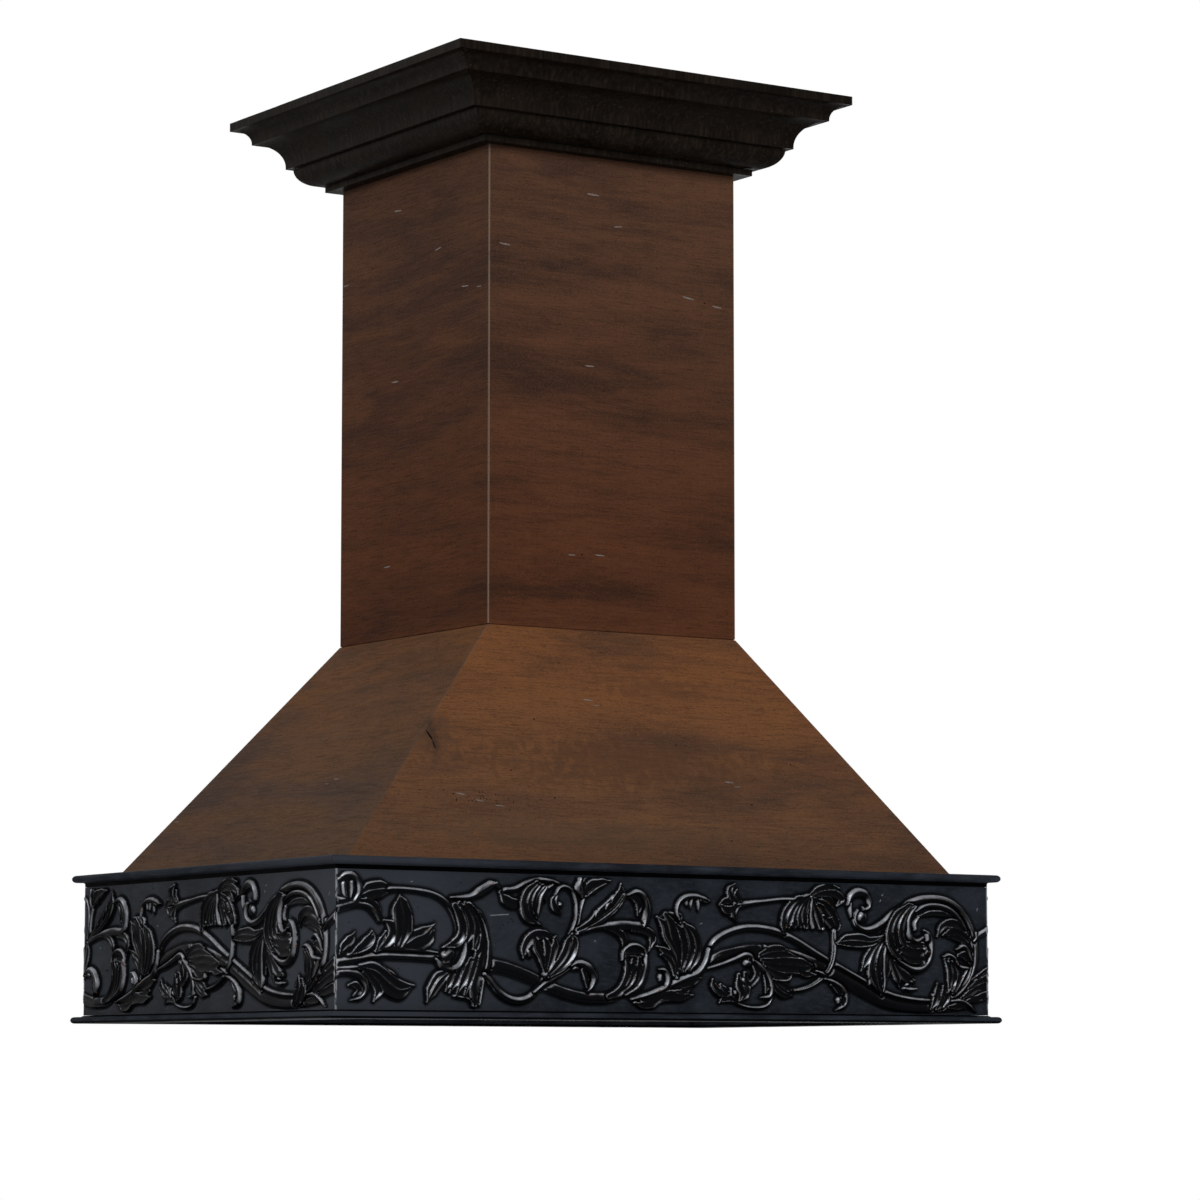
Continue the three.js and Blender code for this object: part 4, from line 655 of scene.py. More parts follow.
    ("hollow", (1.4, 3.5, 3.7, 1.4), 6, 0.15, 556, 43, 560, 36, 561, 28, 560, 19),
    ("hollow", (1.4, 3.5, 3.7, 1.4), 6.4, 0.15, 560, 43, 565, 35, 565.5, 27, 562, 18),
    ("hollow", (1.4, 3.5, 3.7, 1.4), 6, -0.15, 564, 42, 570, 34, 570, 26, 564, 16),
    ("round", (1.5, 2, 1.1), 5.4, 0, 578.5, 35.5, 572, 26, 566, 17),
    ("hollow", (1.1, 3.7, 4, 1.7), 6, -0.15, 548.5, 24, 548, 17, 546, 10, 542, 3.5),
    ("hollow", (1.4, 3.7, 4, 1.7), 6.4, -0.15, 554, 21.5, 554.5, 15, 552, 8, 547, 3),
    ("round", (1.5, 1.5), 5, 0, 543.5, 14.5, 547, 14),
    ("hollow", (1.4, 3.2, 1.7), 5.8, 0.15, 559, 16.5, 557.5, 11, 553, 5),
    ("round", (1.3, 2.6, 2.4, 0.7), 5.2, 0, 562, 10, 572, 10, 580, 6.5, 587, 1),
    ("hollow", (1.9, 3.2, 1.7), 4, 0, 560, 5, 568, 5.5, 576, 5),
    ("round", (1.8, 2.6, 2.9, 3.3), 5.2, 0, 586, 58, 590, 62, 596, 65, 606, 70),
    ("round", (1.8, 1.3), 5.6, 0, 587.5, 64, 588, 60),
    ("hollow", (1.7, 3.7, 4, 4), 6, 0.15, 572, 12, 582, 17, 592, 21.5, 606, 24.5),
    ("hollow", (1.7, 3, 3.2, 3.2), 5.6, 0.1, 580, 20, 589, 24.5, 597, 28, 606, 31),
    ("hollow", (1.7, 2.7, 2.7, 2.7), 5, 0.1, 584, 27, 591, 30, 598, 34, 606, 37),
    ("hollow", (1.7, 3.5, 4, 4), 5, 0.1, 578, 10, 588, 12, 597, 14.5, 606, 15),
    ("round", (2, 1.8), 5, 0, 587, 27.5, 588, 27),
]]


def spine_points(knots, count):
    """Points on a smooth curve through the knots."""
    points = np.array(knots, float)
    if len(points) == 2:
        share = np.linspace(0, 1, count)[:, None]
        return points[0] * (1 - share) + points[1] * share
    run = np.vstack([2 * points[0] - points[1], points, 2 * points[-1] - points[-2]])
    place = np.linspace(0, len(points) - 1, count)
    first = np.minimum(place.astype(int), len(points) - 2)
    u = (place - first)[:, None]
    a, b, c, d = run[first], run[first + 1], run[first + 2], run[first + 3]
    return 0.5 * (2 * b + (c - a) * u + (2 * a - 5 * b + 4 * c - d) * u * u + (3 * b - a - 3 * c + d) * u**3)


def ease(value):
    value = np.clip(value, 0, 1)
    return value * value * (3 - 2 * value)


def row_value(row, share):
    """The values of a row, eased from one to the next, at shares of its length."""
    row = np.atleast_1d(np.array(row, float))
    if len(row) == 1:
        return np.full_like(share, row[0])
    place = share * (len(row) - 1)
    first = np.minimum(place.astype(int), len(row) - 2)
    step = ease(place - first)
    return row[first] * (1 - step) + row[first + 1] * step


rim_width = 0.16
far_off = 9.0


def lobe_section(form, a, u):
    """Height across a lobe: a is the distance from its spine in half widths, and u the same with its side."""
    dome = np.sqrt(np.clip(1 - a * a, 0, 1))
    edge = ease((1 - a) / rim_width)
    if form == "round":
        return 0.10 * edge + 0.90 * dome**1.9
    if form == "bead":
        return 0.10 * edge + 0.94 * dome**1.9 - 0.26 * np.exp(-(((u + 0.42) / 0.15) ** 2))
    if form == "hollow":
        return (0.42 + 0.58 * a**1.7) * edge
    if form == "vein":
        return (0.45 + 0.48 * a**2 + 0.42 * np.exp(-((a / 0.17) ** 2))) * edge
    if form == "ridge":
        return (0.30 + 0.70 * (1 - a) ** 0.8) * edge
    return ease((1 - a) / 0.3)


def follow_spine(spine, x, z):
    """For each place: its distance from the spine, its side, and the nearest point's share of the length."""
    square = np.full(x.shape, far_off)
    side = np.zeros(x.shape)
    share = np.zeros(x.shape)
    for i in range(len(spine) - 1):
        (ax, az), (bx, bz) = spine[i], spine[i + 1] - spine[i]
        s = np.clip(((x - ax) * bx + (z - az) * bz) / (bx * bx + bz * bz + 1e-12), 0, 1)
        here = (x - ax - s * bx) ** 2 + (z - az - s * bz) ** 2
        closer = here < square
        square = np.where(closer, here, square)
        side = np.where(closer, np.where(bx * (z - az) - bz * (x - ax) >= 0, 1.0, -1.0), side)
        share = np.where(closer, (i + s) / (len(spine) - 1), share)
    return np.sqrt(square), side, share


spine_step = 0.012
fewest_points, most_points = 8, 90
lobe_surround = 0.03
least_half_width = 0.0001
undercut_width = 0.012
groove_width = 0.018
groove_depth = 1.2
least_sunk = 0.25
# How much painted crevice shade is kept under a group that lies over it.
crevice_shade_kept = 0.2


def carve_group(relief, crevice_shade, along, up, lobes):
    """Carves one group of lobes over what is carved already, and cuts a groove round its outline, with
    painted shade in it.
    """
    nearest = np.full(relief.shape, far_off)
    height = np.zeros(relief.shape)
    gap = np.full(relief.shape, far_off)
    for form, half_widths, crests, lean, *spine_places in lobes:
        knots = np.array(spine_places).reshape(-1, 2) / 100
        length = np.hypot(*np.diff(spine_points(knots, 40), axis=0).T).sum()
        spine = spine_points(knots, int(max(fewest_points, min(most_points, length / spine_step))))
        reach = max(half_widths) / 100 + lobe_surround
        low, high = spine.min(0) - reach, spine.max(0) + reach
        columns = slice(*np.searchsorted(along, (low[0], high[0])))
        rows = slice(*np.searchsorted(up, (low[1], high[1])))
        window = (rows, columns)
        distance, side, share = follow_spine(spine, *np.meshgrid(along[columns], up[rows]))
        half = np.maximum(row_value(half_widths, share) / 100, least_half_width)
        a = np.clip(distance / half, 0, 1)
        here = lobe_section(form, a, a * side) * row_value(crests, share) * (1 + lean * a * side)
        wins = distance / half < nearest[window]
        nearest[window] = np.where(wins, distance / half, nearest[window])
        height[window] = np.where(wins, here, height[window])
        gap[window] = np.minimum(gap[window], distance - half)
    inside = nearest < 1
    sunk = least_sunk + (1 - least_sunk) * ease(gap / undercut_width)
    groove = np.exp(-((gap / groove_width) ** 2)) * (gap > 0)
    relief = np.where(inside, np.maximum(height, least_sunk * relief), relief * sunk - groove_depth * groove)
    # Painted shade in the groove round the outline, mostly cleared under the group.
    crevice_shade = np.where(inside, crevice_shade * crevice_shade_kept, np.maximum(crevice_shade * sunk, groove))
    return relief, crevice_shade


field_along = np.arange(-0.02, 6.03, field_step)
field_up = np.arange(0, 1 + field_step / 2, field_step)
carved = np.zeros((len(field_up), len(field_along)))
crevice_shades = np.zeros(carved.shape)
for group in ORNAMENT:
    carved, crevice_shades = carve_group(carved, crevice_shades, field_along, field_up, group)

# Marks in the ground: worm holes as (along, up, radius), and nicks as (along, up, length, slant in degrees),
# both in heights of the field.
pit_depth = 1.6
nick_depth = 0.35
nick_width = 0.005
worm_holes = [
    (0.110, 0.620, 0.006), (0.530, 0.290, 0.005), (1.400, 0.600, 0.005), (1.432, 0.622, 0.007),
    (1.470, 0.640, 0.006), (1.500, 0.668, 0.005), (1.520, 0.652, 0.006), (2.362, 0.340, 0.006),
    (2.388, 0.338, 0.007), (0.690, 0.740, 0.005), (3.420, 0.180, 0.005), (3.150, 0.960, 0.005),
    (4.560, 0.300, 0.006), (1.060, 0.930, 0.005), (2.940, 0.870, 0.006), (2.570, 0.445, 0.022),
    (2.605, 0.445, 0.026), (2.640, 0.445, 0.022),
]
nicks = [
    (5.900, 0.830, 0.030, 70), (4.935, 0.880, 0.026, 55), (4.955, 0.925, 0.020, 40), (1.400, 0.700, 0.170, 4),
    (3.220, 0.670, 0.030, 20), (0.640, 0.930, 0.022, 15), (2.250, 0.520, 0.020, 60),
]
nicked = np.zeros(carved.shape)
for hole_along, hole_up, radius in worm_holes:
    near = (field_along[None, :] - hole_along) ** 2 + (field_up[:, None] - hole_up) ** 2
    pit = np.exp(-near / radius**2)
    carved -= pit_depth * pit
    # Painted shade in each worm hole.
    crevice_shades = np.maximum(crevice_shades, pit)
for nick_along, nick_up, nick_length, slant in nicks:
    lean = math.radians(slant)
    x = field_along[None, :] - nick_along
    z = field_up[:, None] - nick_up
    lengthwise = x * math.cos(lean) + z * math.sin(lean)
    crosswise = z * math.cos(lean) - x * math.sin(lean)
    nicked += np.exp(-((crosswise / nick_width) ** 2)) * (np.abs(lengthwise) < nick_length / 2)
carved -= nick_depth * nicked
carved *= crest_unit


def averaged(values, reach):
    """Each value averaged with its neighbours, out to three times reach cells."""
    weights = np.exp(-0.5 * (np.arange(-3 * reach, 3 * reach + 1) / reach) ** 2)
    weights /= weights.sum()
    padded = np.pad(values, 3 * reach, mode="edge")
    padded = np.apply_along_axis(np.convolve, 0, padded, weights, "valid")
    return np.apply_along_axis(np.convolve, 1, padded, weights, "valid")


# Painted highlights on the forms: their ridges where they face one side, and slopes that lean towards the
# lamps. Painted shade in every hollow and round the foot of every form.
ridge_reach = 2
ridge_depth = 0.00035
hollow_reach = 5
hollow_depth = 0.0012
form_foot, form_rise = 0.0003, 0.0007
facing_middle, facing_gain = 0.45, 0.75
nick_brightness = 0.8
slope_up, slope_along = np.gradient(averaged(carved, 1), field_step * field_height)
steepness = np.sqrt(1 + slope_up**2 + slope_along**2)
raised = ease((carved - form_foot) / form_rise)
ridges = ease((carved - averaged(carved, ridge_reach)) / ridge_depth)


def caught(lean_along, lean_up, width):
    """1 where the surface leans by these angles along and up the board, fading over the width in degrees."""
    a, b = math.radians(lean_along), math.radians(lean_up)
    towards = -slope_along * math.sin(a) * math.cos(b) + math.cos(a) * math.cos(b) - slope_up * math.sin(b)
    return np.exp(-2 * (1 - towards / steepness) / math.radians(width) ** 2)


def painted_highlight_and_nicks_from(way, ridge_share, gleams):
    """Painted highlights for light from the left (1) or the right (-1), with the nicks' pale wear. Each gleam
    is its share, its leans along and up, and its width."""
    facing = ease(facing_middle + facing_gain * (way * slope_along - slope_up) / steepness)
    shares = [ridge_share * ridges * facing] + [share * caught(*lean) for share, *lean in gleams]
    return np.maximum(raised * np.maximum.reduce(shares), nick_brightness * np.clip(nicked, 0, 1))


# Painted highlights with the nicks' pale wear: lit from the left on the front, right and back boards, and
# from the right on the left board.
painted_highlight_and_nicks_left = painted_highlight_and_nicks_from(1, 0.85, [(1, -22, 16, 10), (0.45, 26, 4, 7), (0.66, -13, 11, 11)])
painted_highlight_and_nicks_right = painted_highlight_and_nicks_from(-1, 0.72, [(0.85, 28, 30, 8), (0.4, -30, 4, 6), (0.62, 12, 16, 10)])
# Painted shade in the hollows of the forms, added to the crevice shade.
hollow_shade = ease((averaged(carved, hollow_reach) - carved) / hollow_depth)
crevice_shades = np.maximum(np.clip(crevice_shades, 0, 1), hollow_shade)


def read_field(values, along, up, half_length):
    """A value of the ornament at places on a board, in metres from its middle and from the floor."""
    share_along = (along + 2 * board_half_width - half_length) / field_height
    share_up = (up - field_low) / field_height
    column = np.clip((share_along - field_along[0]) / field_step, 0, values.shape[1] - 1.001)
    row = np.clip((share_up - field_up[0]) / field_step, 0, values.shape[0] - 1.001)
    i, j = row.astype(int), column.astype(int)
    v, u = row - i, column - j
    read = (
        values[i, j] * (1 - v) * (1 - u)
        + values[i, j + 1] * (1 - v) * u
        + values[i + 1, j] * v * (1 - u)
        + values[i + 1, j + 1] * v * u
    )
    return np.where((share_up > 0) & (share_up < 1), read, 0.0)


def relief_at(along, up, half_length):
    """Height of the carving over a board's face: it sinks towards the board's two ends."""
    fade = end_relief_share + (1 - end_relief_share) * np.clip((half_length - np.abs(along)) / end_fade, 0, 1)
    return np.minimum(read_field(carved, along, up, half_length), relief_height) * fade


def shade_relief(board, local, at_face, half_length, spin):
    """Smooth normals that follow the carving's own slopes, and flat ones on the board's edges and back."""
    along, up, near = local[:, 0], local[:, 2], normal_reach
    lean_along = relief_at(along + near, up, half_length) - relief_at(along - near, up, half_length)
    lean_up = relief_at(along, up + near, half_length) - relief_at(along, up - near, half_length)
    smooth = np.stack([-lean_along, np.full(len(along), -2 * near), -lean_up], axis=1)
    smooth /= np.linalg.norm(smooth, axis=1)[:, None]
    smooth = smooth @ np.array(spin).T
    mesh = board.data
    corner_vertex = np.empty(len(mesh.loops), int)
    mesh.loops.foreach_get("vertex_index", corner_vertex)
    flat = np.empty(len(mesh.polygons) * 3)
    mesh.polygons.foreach_get("normal", flat)
    corners = np.empty(len(mesh.polygons), int)
    mesh.polygons.foreach_get("loop_total", corners)
    owner = np.repeat(np.arange(len(corners)), corners)
    carved_faces = np.bincount(owner, ~at_face[corner_vertex], len(corners)) == 0
    normals = np.where(carved_faces[owner][:, None], smooth[corner_vertex], flat.reshape(-1, 3)[owner])
    mesh.shade_smooth()
    mesh.normals_split_custom_set(normals.tolist())


def vertex_places(mesh):
    places = np.empty(len(mesh.vertices) * 3)
    mesh.vertices.foreach_get("co", places)
    return places.reshape(-1, 3)


def make_carved_board(side, face, half_length):
    """A fine grid raised to the carving, closed at the back, which the mitres make shorter, and thinned."""
    columns = int(board_columns * half_length / board_half_width)
    bpy.ops.object.select_all(action="DESELECT")
    bpy.ops.mesh.primitive_grid_add(
        x_subdivisions=columns, y_subdivisions=board_rows, size=2, location=(0, 0, 0),
    )
    board = bpy.context.object
    board.name = f"carved_relief_{side}"
    bpy.ops.object.mode_set(mode="EDIT")
    bpy.ops.mesh.select_all(action="SELECT")
    bpy.ops.mesh.region_to_loop()
    bpy.ops.mesh.extrude_edges_move(TRANSFORM_OT_translate={"value": (0, 0, -1)})
    bpy.ops.mesh.edge_face_add()
    bpy.ops.mesh.select_all(action="SELECT")
    bpy.ops.mesh.normals_make_consistent(inside=False)
    close_mesh()
    points = vertex_places(board.data)
    at_back = points[:, 2] < -0.5
    end = half_length - mitre_setback
    along = points[:, 0] * np.where(at_back, end - board_thickness, end)
    up = board_low + (points[:, 1] + 1) / 2 * (board_high - board_low)
    out = np.where(at_back, face - board_thickness, face + relief_at(along, up, half_length))
    placed = np.stack([along, -out, up], axis=1)
    spin = Matrix.Rotation(TURNS[side], 3, "Z")
    board.data.vertices.foreach_set("co", (placed @ np.array(spin).T).ravel())
    board.data.update()
    kept = min(1.0, kept_triangles / (2 * columns * board_rows))
    apply_modifier(board, "thin_out_plain_ground", "DECIMATE", ratio=kept)
    local = vertex_places(board.data) @ np.array(spin)
    over_face = -local[:, 1] - face
    at_face = over_face > -deepest_mark
    shade_relief(board, local, at_face, half_length, spin)
    # Painted highlights with the nicks' wear, and painted crevice shade, are stored on the points.
    painted_highlight_and_nicks = painted_highlight_and_nicks_right if side == "left" else painted_highlight_and_nicks_left
    for name, values in (("crevice_shade", crevice_shades), ("painted_highlight_and_nicks", painted_highlight_and_nicks)):
        read = np.where(at_face, read_field(values, local[:, 0], local[:, 2], half_length), 0.0)
        board.data.attributes.new(name, "FLOAT", "POINT").data.foreach_set("value", read)
    board.data.attributes.new("relief", "FLOAT", "POINT").data.foreach_set("value", over_face)
    return board


def carving_black_with_painted_light(name, body, painted_highlight_colour, brown, corner):
    """The satin black of the carving: painted shade on the forms and in the crevices, painted highlights
    where the forms face the light, and brown where it was worn through."""
    material, tree, shader = new_finish(name, 0.30, 0.020)
    relief, crevice_shade, painted_highlight_and_nicks = (
        add_node(tree, "ShaderNodeAttribute", attribute_name=values).outputs["Fac"]
        for values in ("relief", "crevice_shade", "painted_highlight_and_nicks")
    )
    mottle = cloud(tree, (24, 24, 24), 4.0)
    fine = cloud(tree, (90, 90, 260), 3.0, shift=(3, 5, 7))
    specks = cloud(tree, (520, 520, 520), 2.0, shift=(1, 9, 4))
    tone = blend_colour(tree, spread(tree, mottle, 0.35, 0.7), body, scaled(body, 2.0))
    tone = paint(tree, tone, scaled(body, 2.8), fine, 0.42, 0.75, 0.5)
    tone = paint(tree, tone, (0.04, 0.043, 0.05), specks, 0.60, 0.74, 0.30)
    # Painted light: a glow round the near left corner.
    tone = blend_colour(tree, painted_corner_glow(tree), tone, painted_glow_colour)
    # Painted shade: the raised forms go near black, under the painted highlights.
    tone = paint(tree, tone, painted_shade_black, relief, 0.0001, 0.0007, 0.92)
    patchy = spread(tree, cloud(tree, (75, 75, 75), 4.0, shift=(6, 1, 2)), 0.30, 0.62, 0.55, 1.0)
    # Painted highlight on ridges and on slopes that lean towards the lamps.
    painted_rim_highlight = combine(tree, "MULTIPLY", spread(tree, painted_highlight_and_nicks, 0.28, 1.0), patchy)
    tone = blend_colour(tree, painted_rim_highlight, tone, painted_highlight_colour)
    # Painted shade in crevices, grooves, holes and hollows.
    tone = blend_colour(tree, combine(tree, "MULTIPLY", crevice_shade, 0.94), tone, painted_shade_black)
    spots = spread(tree, cloud(tree, (230, 230, 230), 3.0, shift=(4, 4, 1)), 0.62, 0.70)
    spots = combine(tree, "MULTIPLY", spots, spread(tree, painted_highlight_and_nicks, 0.15, 0.5))
    tone = blend_colour(tree, combine(tree, "MULTIPLY", spots, 0.8), tone, brown)
    ragged = spread(tree, cloud(tree, (190, 190, 110), 4.0), 0.38, 0.52)
    tone = rub_corner(tree, tone, (0.25, 0.26, 0.27), ragged, 0.0026, corner)
    dulled = combine(tree, "MULTIPLY", crevice_shade, 0.4)
    sheen = combine(tree, "ADD", spread(tree, mottle, 0.3, 0.8, 0.22, 0.30), dulled)
    tree.links.new(tone, shader.inputs["Base Color"])
    tree.links.new(combine(tree, "MULTIPLY", painted_rim_highlight, 0.35), shader.inputs["Metallic"])
    tree.links.new(sheen, shader.inputs["Roughness"])
    add_bump(tree, shader, weigh(tree, fine, 0.5, specks, 0.5), 0.0003, 0.12)
    return material


carved_black = carving_black_with_painted_light(
    "carved_black", body=(0.0068, 0.0082, 0.0108), painted_highlight_colour=(0.34, 0.355, 0.385), brown=(0.10, 0.045, 0.02),
    corner=board_half_width + board_half_depth,
)
for side in SIDES:
    face, half_length = board_half_depth, board_half_width
    if side in ("right", "left"):
        face, half_length = half_length, face
    board = make_carved_board(side, face, half_length)
    board.data.materials.append(carved_black)
    settle(board, f"carved_board_{side}")


# Corner blocks: three-sided glue blocks of planed softwood, rubbed into place behind the apron's mitres.
# They are bare timber, like all the framing inside, with long straight grain and darker late wood.
timber_pale = (0.46, 0.29, 0.15)
timber_dark = (0.27, 0.14, 0.060)


def bare_timber(name, stretch, grain=None):
    """Planed timber. A grain direction, the same on all four corners, takes the place of Z."""
    material, tree, shader = new_finish(name, 0.72, 0.35)
    place = None
    if grain:
        mirrored = vector(tree, "ABSOLUTE", own_place(tree))
        across = grain.cross((0, 0, 1)).normalized()
        along_grain = {
            axis: vector(tree, "DOT_PRODUCT", mirrored, direction, "Value")
            for axis, direction in (("X", across), ("Y", grain.cross(across)), ("Z", grain))
        }
        place = add_node(tree, "ShaderNodeCombineXYZ", along_grain).outputs["Vector"]
    rings = cloud(tree, stretch, 3.0, 0.35, place=place)
    fibre = cloud(tree, scaled(stretch, 4), 3.0, shift=(2, 7, 5), place=place)
    patches = cloud(tree, (9, 9, 9), 2.0, shift=(8, 1, 3))
    tone = blend_colour(tree, spread(tree, rings, 0.42, 0.62), timber_pale, timber_dark)
    tone = paint(tree, tone, timber_dark, fibre, 0.45, 0.8, 0.35)
    tone = paint(tree, tone, (0.34, 0.20, 0.11), patches, 0.4, 0.75, 0.3)
    tree.links.new(tone, shader.inputs["Base Color"])
    tree.links.new(spread(tree, fibre, 0.3, 0.7, 0.62, 0.82), shader.inputs["Roughness"])
    add_bump(tree, shader, combine(tree, "ADD", rings, fibre), 0.0004, 0.4)
    return material


def dress(kind, places, material):
    """Gives construction pieces of one kind their material."""
    for place in places:
        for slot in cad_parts[f"{kind}_{place}"].material_slots:
            slot.material = material


CORNERS = ("front_left", "front_right", "back_right", "back_left")
upright_timber = bare_timber("upright_timber", (120, 120, 5))
dress("corner_block", CORNERS, upright_timber)


# Canopy: four slanted boards of solid walnut, glued at the hips. The grain runs level, the stain is
# wiped on by hand, and the faces are distressed with scores, worm holes and a filled knot.
def half_sizes(kind):
    """How far out the four pieces of a kind reach, from the middle to each side."""
    deep, wide = -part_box(f"{kind}_front")[0].y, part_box(f"{kind}_right")[1].x
    return {"front": deep, "right": wide, "back": deep, "left": wide}


canopy_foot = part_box("canopy_panel_front")[0].z
canopy_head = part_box("canopy_panel_front")[1].z
panel_foot = half_sizes("canopy_panel")
chimney_face = half_sizes("chimney_board")
hip_foot = panel_foot["right"] + panel_foot["front"]
hip_head = chimney_face["right"] + chimney_face["front"]
hip_lean = (hip_foot - hip_head) / (canopy_head - canopy_foot)
panel_ease = 0.0011
score_depth = 0.0006
hole_depth = 0.003
score_share = 0.45
end_clearance = 0.02
canopy_seed, canopy_count = 50, 16


def stained_walnut(name, light, middle, dark, seed, tint_low, tint_high, low, high):
    """Stain wiped on along the level grain: long smeared bands, smoky patches and fine pores, with painted
    light: a slow change of tint and brightness from low to high. The tone is not linked yet."""
    material, tree, shader = new_finish(name, 0.60, 0.012)
    smears = cloud(tree, (3.6, 3.6, 24), 4.5, 0.6, shift=(seed, 2, 5), roughness=0.62)
    clouds = cloud(tree, (2.3, 2.3, 7), 3.0, 0.9, shift=(4, seed, 2))
    streaks = cloud(tree, (8, 8, 110), 4.0, 0.4, shift=(2, 7, seed), roughness=0.62)
    curl = cloud(tree, (62, 62, 9), 2.0, 0.4, shift=(seed, 3, 1))
    grain = cloud(tree, (30, 30, 620), 3.0, 0.1, shift=(5, 5, 9), roughness=0.6)
    pores = cloud(tree, (170, 170, 1300), 2.0, shift=(9, 4, 6))
    dust = cloud(tree, (700, 700, 700), 2.0, shift=(3, 3, 8))
    mixed = weigh(tree, smears, 0.55, clouds, 0.45)
    tone = blend_colour(tree, spread(tree, mixed, 0.44, 0.60), middle, light)
    tone = paint(tree, tone, dark, mixed, 0.49, 0.37)
    tone = paint(tree, tone, dark, streaks, 0.50, 0.70, 0.42)
    tone = paint(tree, tone, light, streaks, 0.46, 0.28, 0.30)
    tone = paint(tree, tone, dark, curl, 0.50, 0.75, 0.16)
    tone = paint(tree, tone, scaled(dark, 0.5), grain, 0.48, 0.70, 0.42)
    tone = paint(tree, tone, scaled(light, 1.25), grain, 0.44, 0.28, 0.30)
    tone = paint(tree, tone, scaled(dark, 0.35), pores, 0.56, 0.68, 0.55)
    tone = paint(tree, tone, scaled(light, 1.7), dust, 0.50, 0.72, 0.30)
    # Painted light: the tint and brightness change with height, from tint_low to tint_high.
    tint = blend_colour(tree, spread(tree, own_axes(tree)["Z"], low, high), tint_low, tint_high)
    tone = blend_colour(tree, 1.0, tone, tint, "MULTIPLY")
    dulled = spread(tree, grain, 0.3, 0.8, 0, 0.1)
    rough = combine(tree, "ADD", spread(tree, smears, 0.3, 0.7, 0.52, 0.62), dulled)
    tree.links.new(rough, shader.inputs["Roughness"])
    add_bump(tree, shader, weigh(tree, grain, 0.6, pores, 0.5, "SUBTRACT"), 0.0003, 0.3)
    return material, tree, shader, tone


def link_worn(tree, shader, tone, amount, width_and_depth, lean=0.0, foot=0.0):
    """Rubs the tone pale along the corner edges, and links it."""
    ragged = spread(tree, cloud(tree, (60, 60, 40), 3.0, shift=(2, 2, 2)), 0.22, 0.42, 0.55 * amount, amount)
    tone = rub_corner(tree, tone, (0.25, 0.185, 0.145), ragged, 0.0020, width_and_depth, lean, foot)
    tree.links.new(tone, shader.inputs["Base Color"])


def smoke_spot(tree, tone, middle, size, colour, strength):
    """Darkens the tone round a place, in an oval of the given half sizes."""
    place = own_place(tree)
    noise_inputs = {"Vector": place, "Scale": 90.0, "Detail": 3.0}
    ragged = add_node(tree, "ShaderNodeTexNoise", noise_inputs).outputs["Fac"]
    even = vector(tree, "DIVIDE", vector(tree, "SUBTRACT", place, middle), size)
    far = vector(tree, "LENGTH", even, output="Value")
    far = combine(tree, "ADD", far, spread(tree, ragged, 0.3, 0.7, -0.35, 0.35))
    return paint(tree, tone, colour, far, 1.0, 0.15, strength)


def plain_finish(name, colour, roughness):
    material, tree, shader = new_finish(name, roughness, 0.2)
    fibres = cloud(tree, (300, 300, 900), 3.0)
    tone = blend_colour(tree, spread(tree, fibres, 0.35, 0.65), colour, scaled(colour, 0.55))
    tree.links.new(tone, shader.inputs["Base Color"])
    add_bump(tree, shader, fibres, 0.0002, 0.4)
    return material


scored_fibre = plain_finish("scored_fibre", (0.16, 0.13, 0.115), 0.6)
worm_dark = plain_finish("worm_dark", (0.006, 0.004, 0.003), 0.9)


def score(along, out, up, length, width, tilt):
    return along, out, up, length, width, score_depth, tilt, scored_fibre


def hole(along, out, up, length, width=None, tilt=0.0):
    return along, out, up, length, width or length, hole_depth, tilt, worm_dark


def gouge(piece, marks, turn):
    """Cuts shallow lens-shaped marks. Each is (along, out, up, length, width, depth, tilt, finish) on the
    front side, which is turned to the piece's own side."""
    cutters = []
    for along, out, up, length, width, depth, tilt, finish in marks:
        bpy.ops.object.select_all(action="DESELECT")
        bpy.ops.mesh.primitive_ico_sphere_add(subdivisions=2, radius=1, location=(0, 0, 0))
        cutter = bpy.context.object
        place = Matrix.Rotation(turn, 4, "Z") @ Matrix.Translation((along, -out, up))
        size = Matrix.Diagonal((length / 2, depth, width / 2, 1))
        cutter.data.transform(place @ Matrix.Rotation(tilt, 4, "Y") @ size)
        cutter.data.materials.append(finish)
        cutters.append(cutter)
    bpy.ops.object.select_all(action="DESELECT")
    for cutter in cutters:
        cutter.select_set(True)
    bpy.context.view_layer.objects.active = cutters[0]
    if len(cutters) > 1:
        bpy.ops.object.join()
    tool = bpy.context.object
    apply_modifier(
        piece, "marks", "BOOLEAN",
        operation="DIFFERENCE", solver="EXACT", material_mode="TRANSFER", object=tool,
    )
    bpy.data.objects.remove(tool, do_unlink=True)


def distressed_board(node, name, side, material, marks):
    board = copied_node(node, name, material)
    apply_modifier(
        board, "eased_edges", "BEVEL",
        width=panel_ease, segments=3, limit_method="ANGLE", angle_limit=math.radians(30),
    )
    gouge(board, marks, TURNS[side])
    smooth_piece(board)
    settle(board, node)


def scattered(seed, count, side, foot_size, head_size, low, high):
    """Marks of use strewn over a side, between two heights: scores along the grain and worm holes."""
    rng = random.Random(seed)
    cross = "front" if side in ("right", "left") else "right"
    marks = []
    for _ in range(count):
        share = rng.random()
        up = low + (high - low) * share
        out = foot_size[side] + (head_size[side] - foot_size[side]) * share
        half_length = foot_size[cross] + (head_size[cross] - foot_size[cross]) * share
        along = rng.uniform(-1, 1) * (half_length - end_clearance)
        if rng.random() < score_share:
            length, width = rng.uniform(0.006, 0.02), rng.uniform(0.0012, 0.0022)
            marks.append(score(along, out, up, length, width, rng.uniform(-0.25, 0.25)))
        else:
            marks.append(hole(along, out, up, rng.uniform(0.0014, 0.0026)))
    return marks


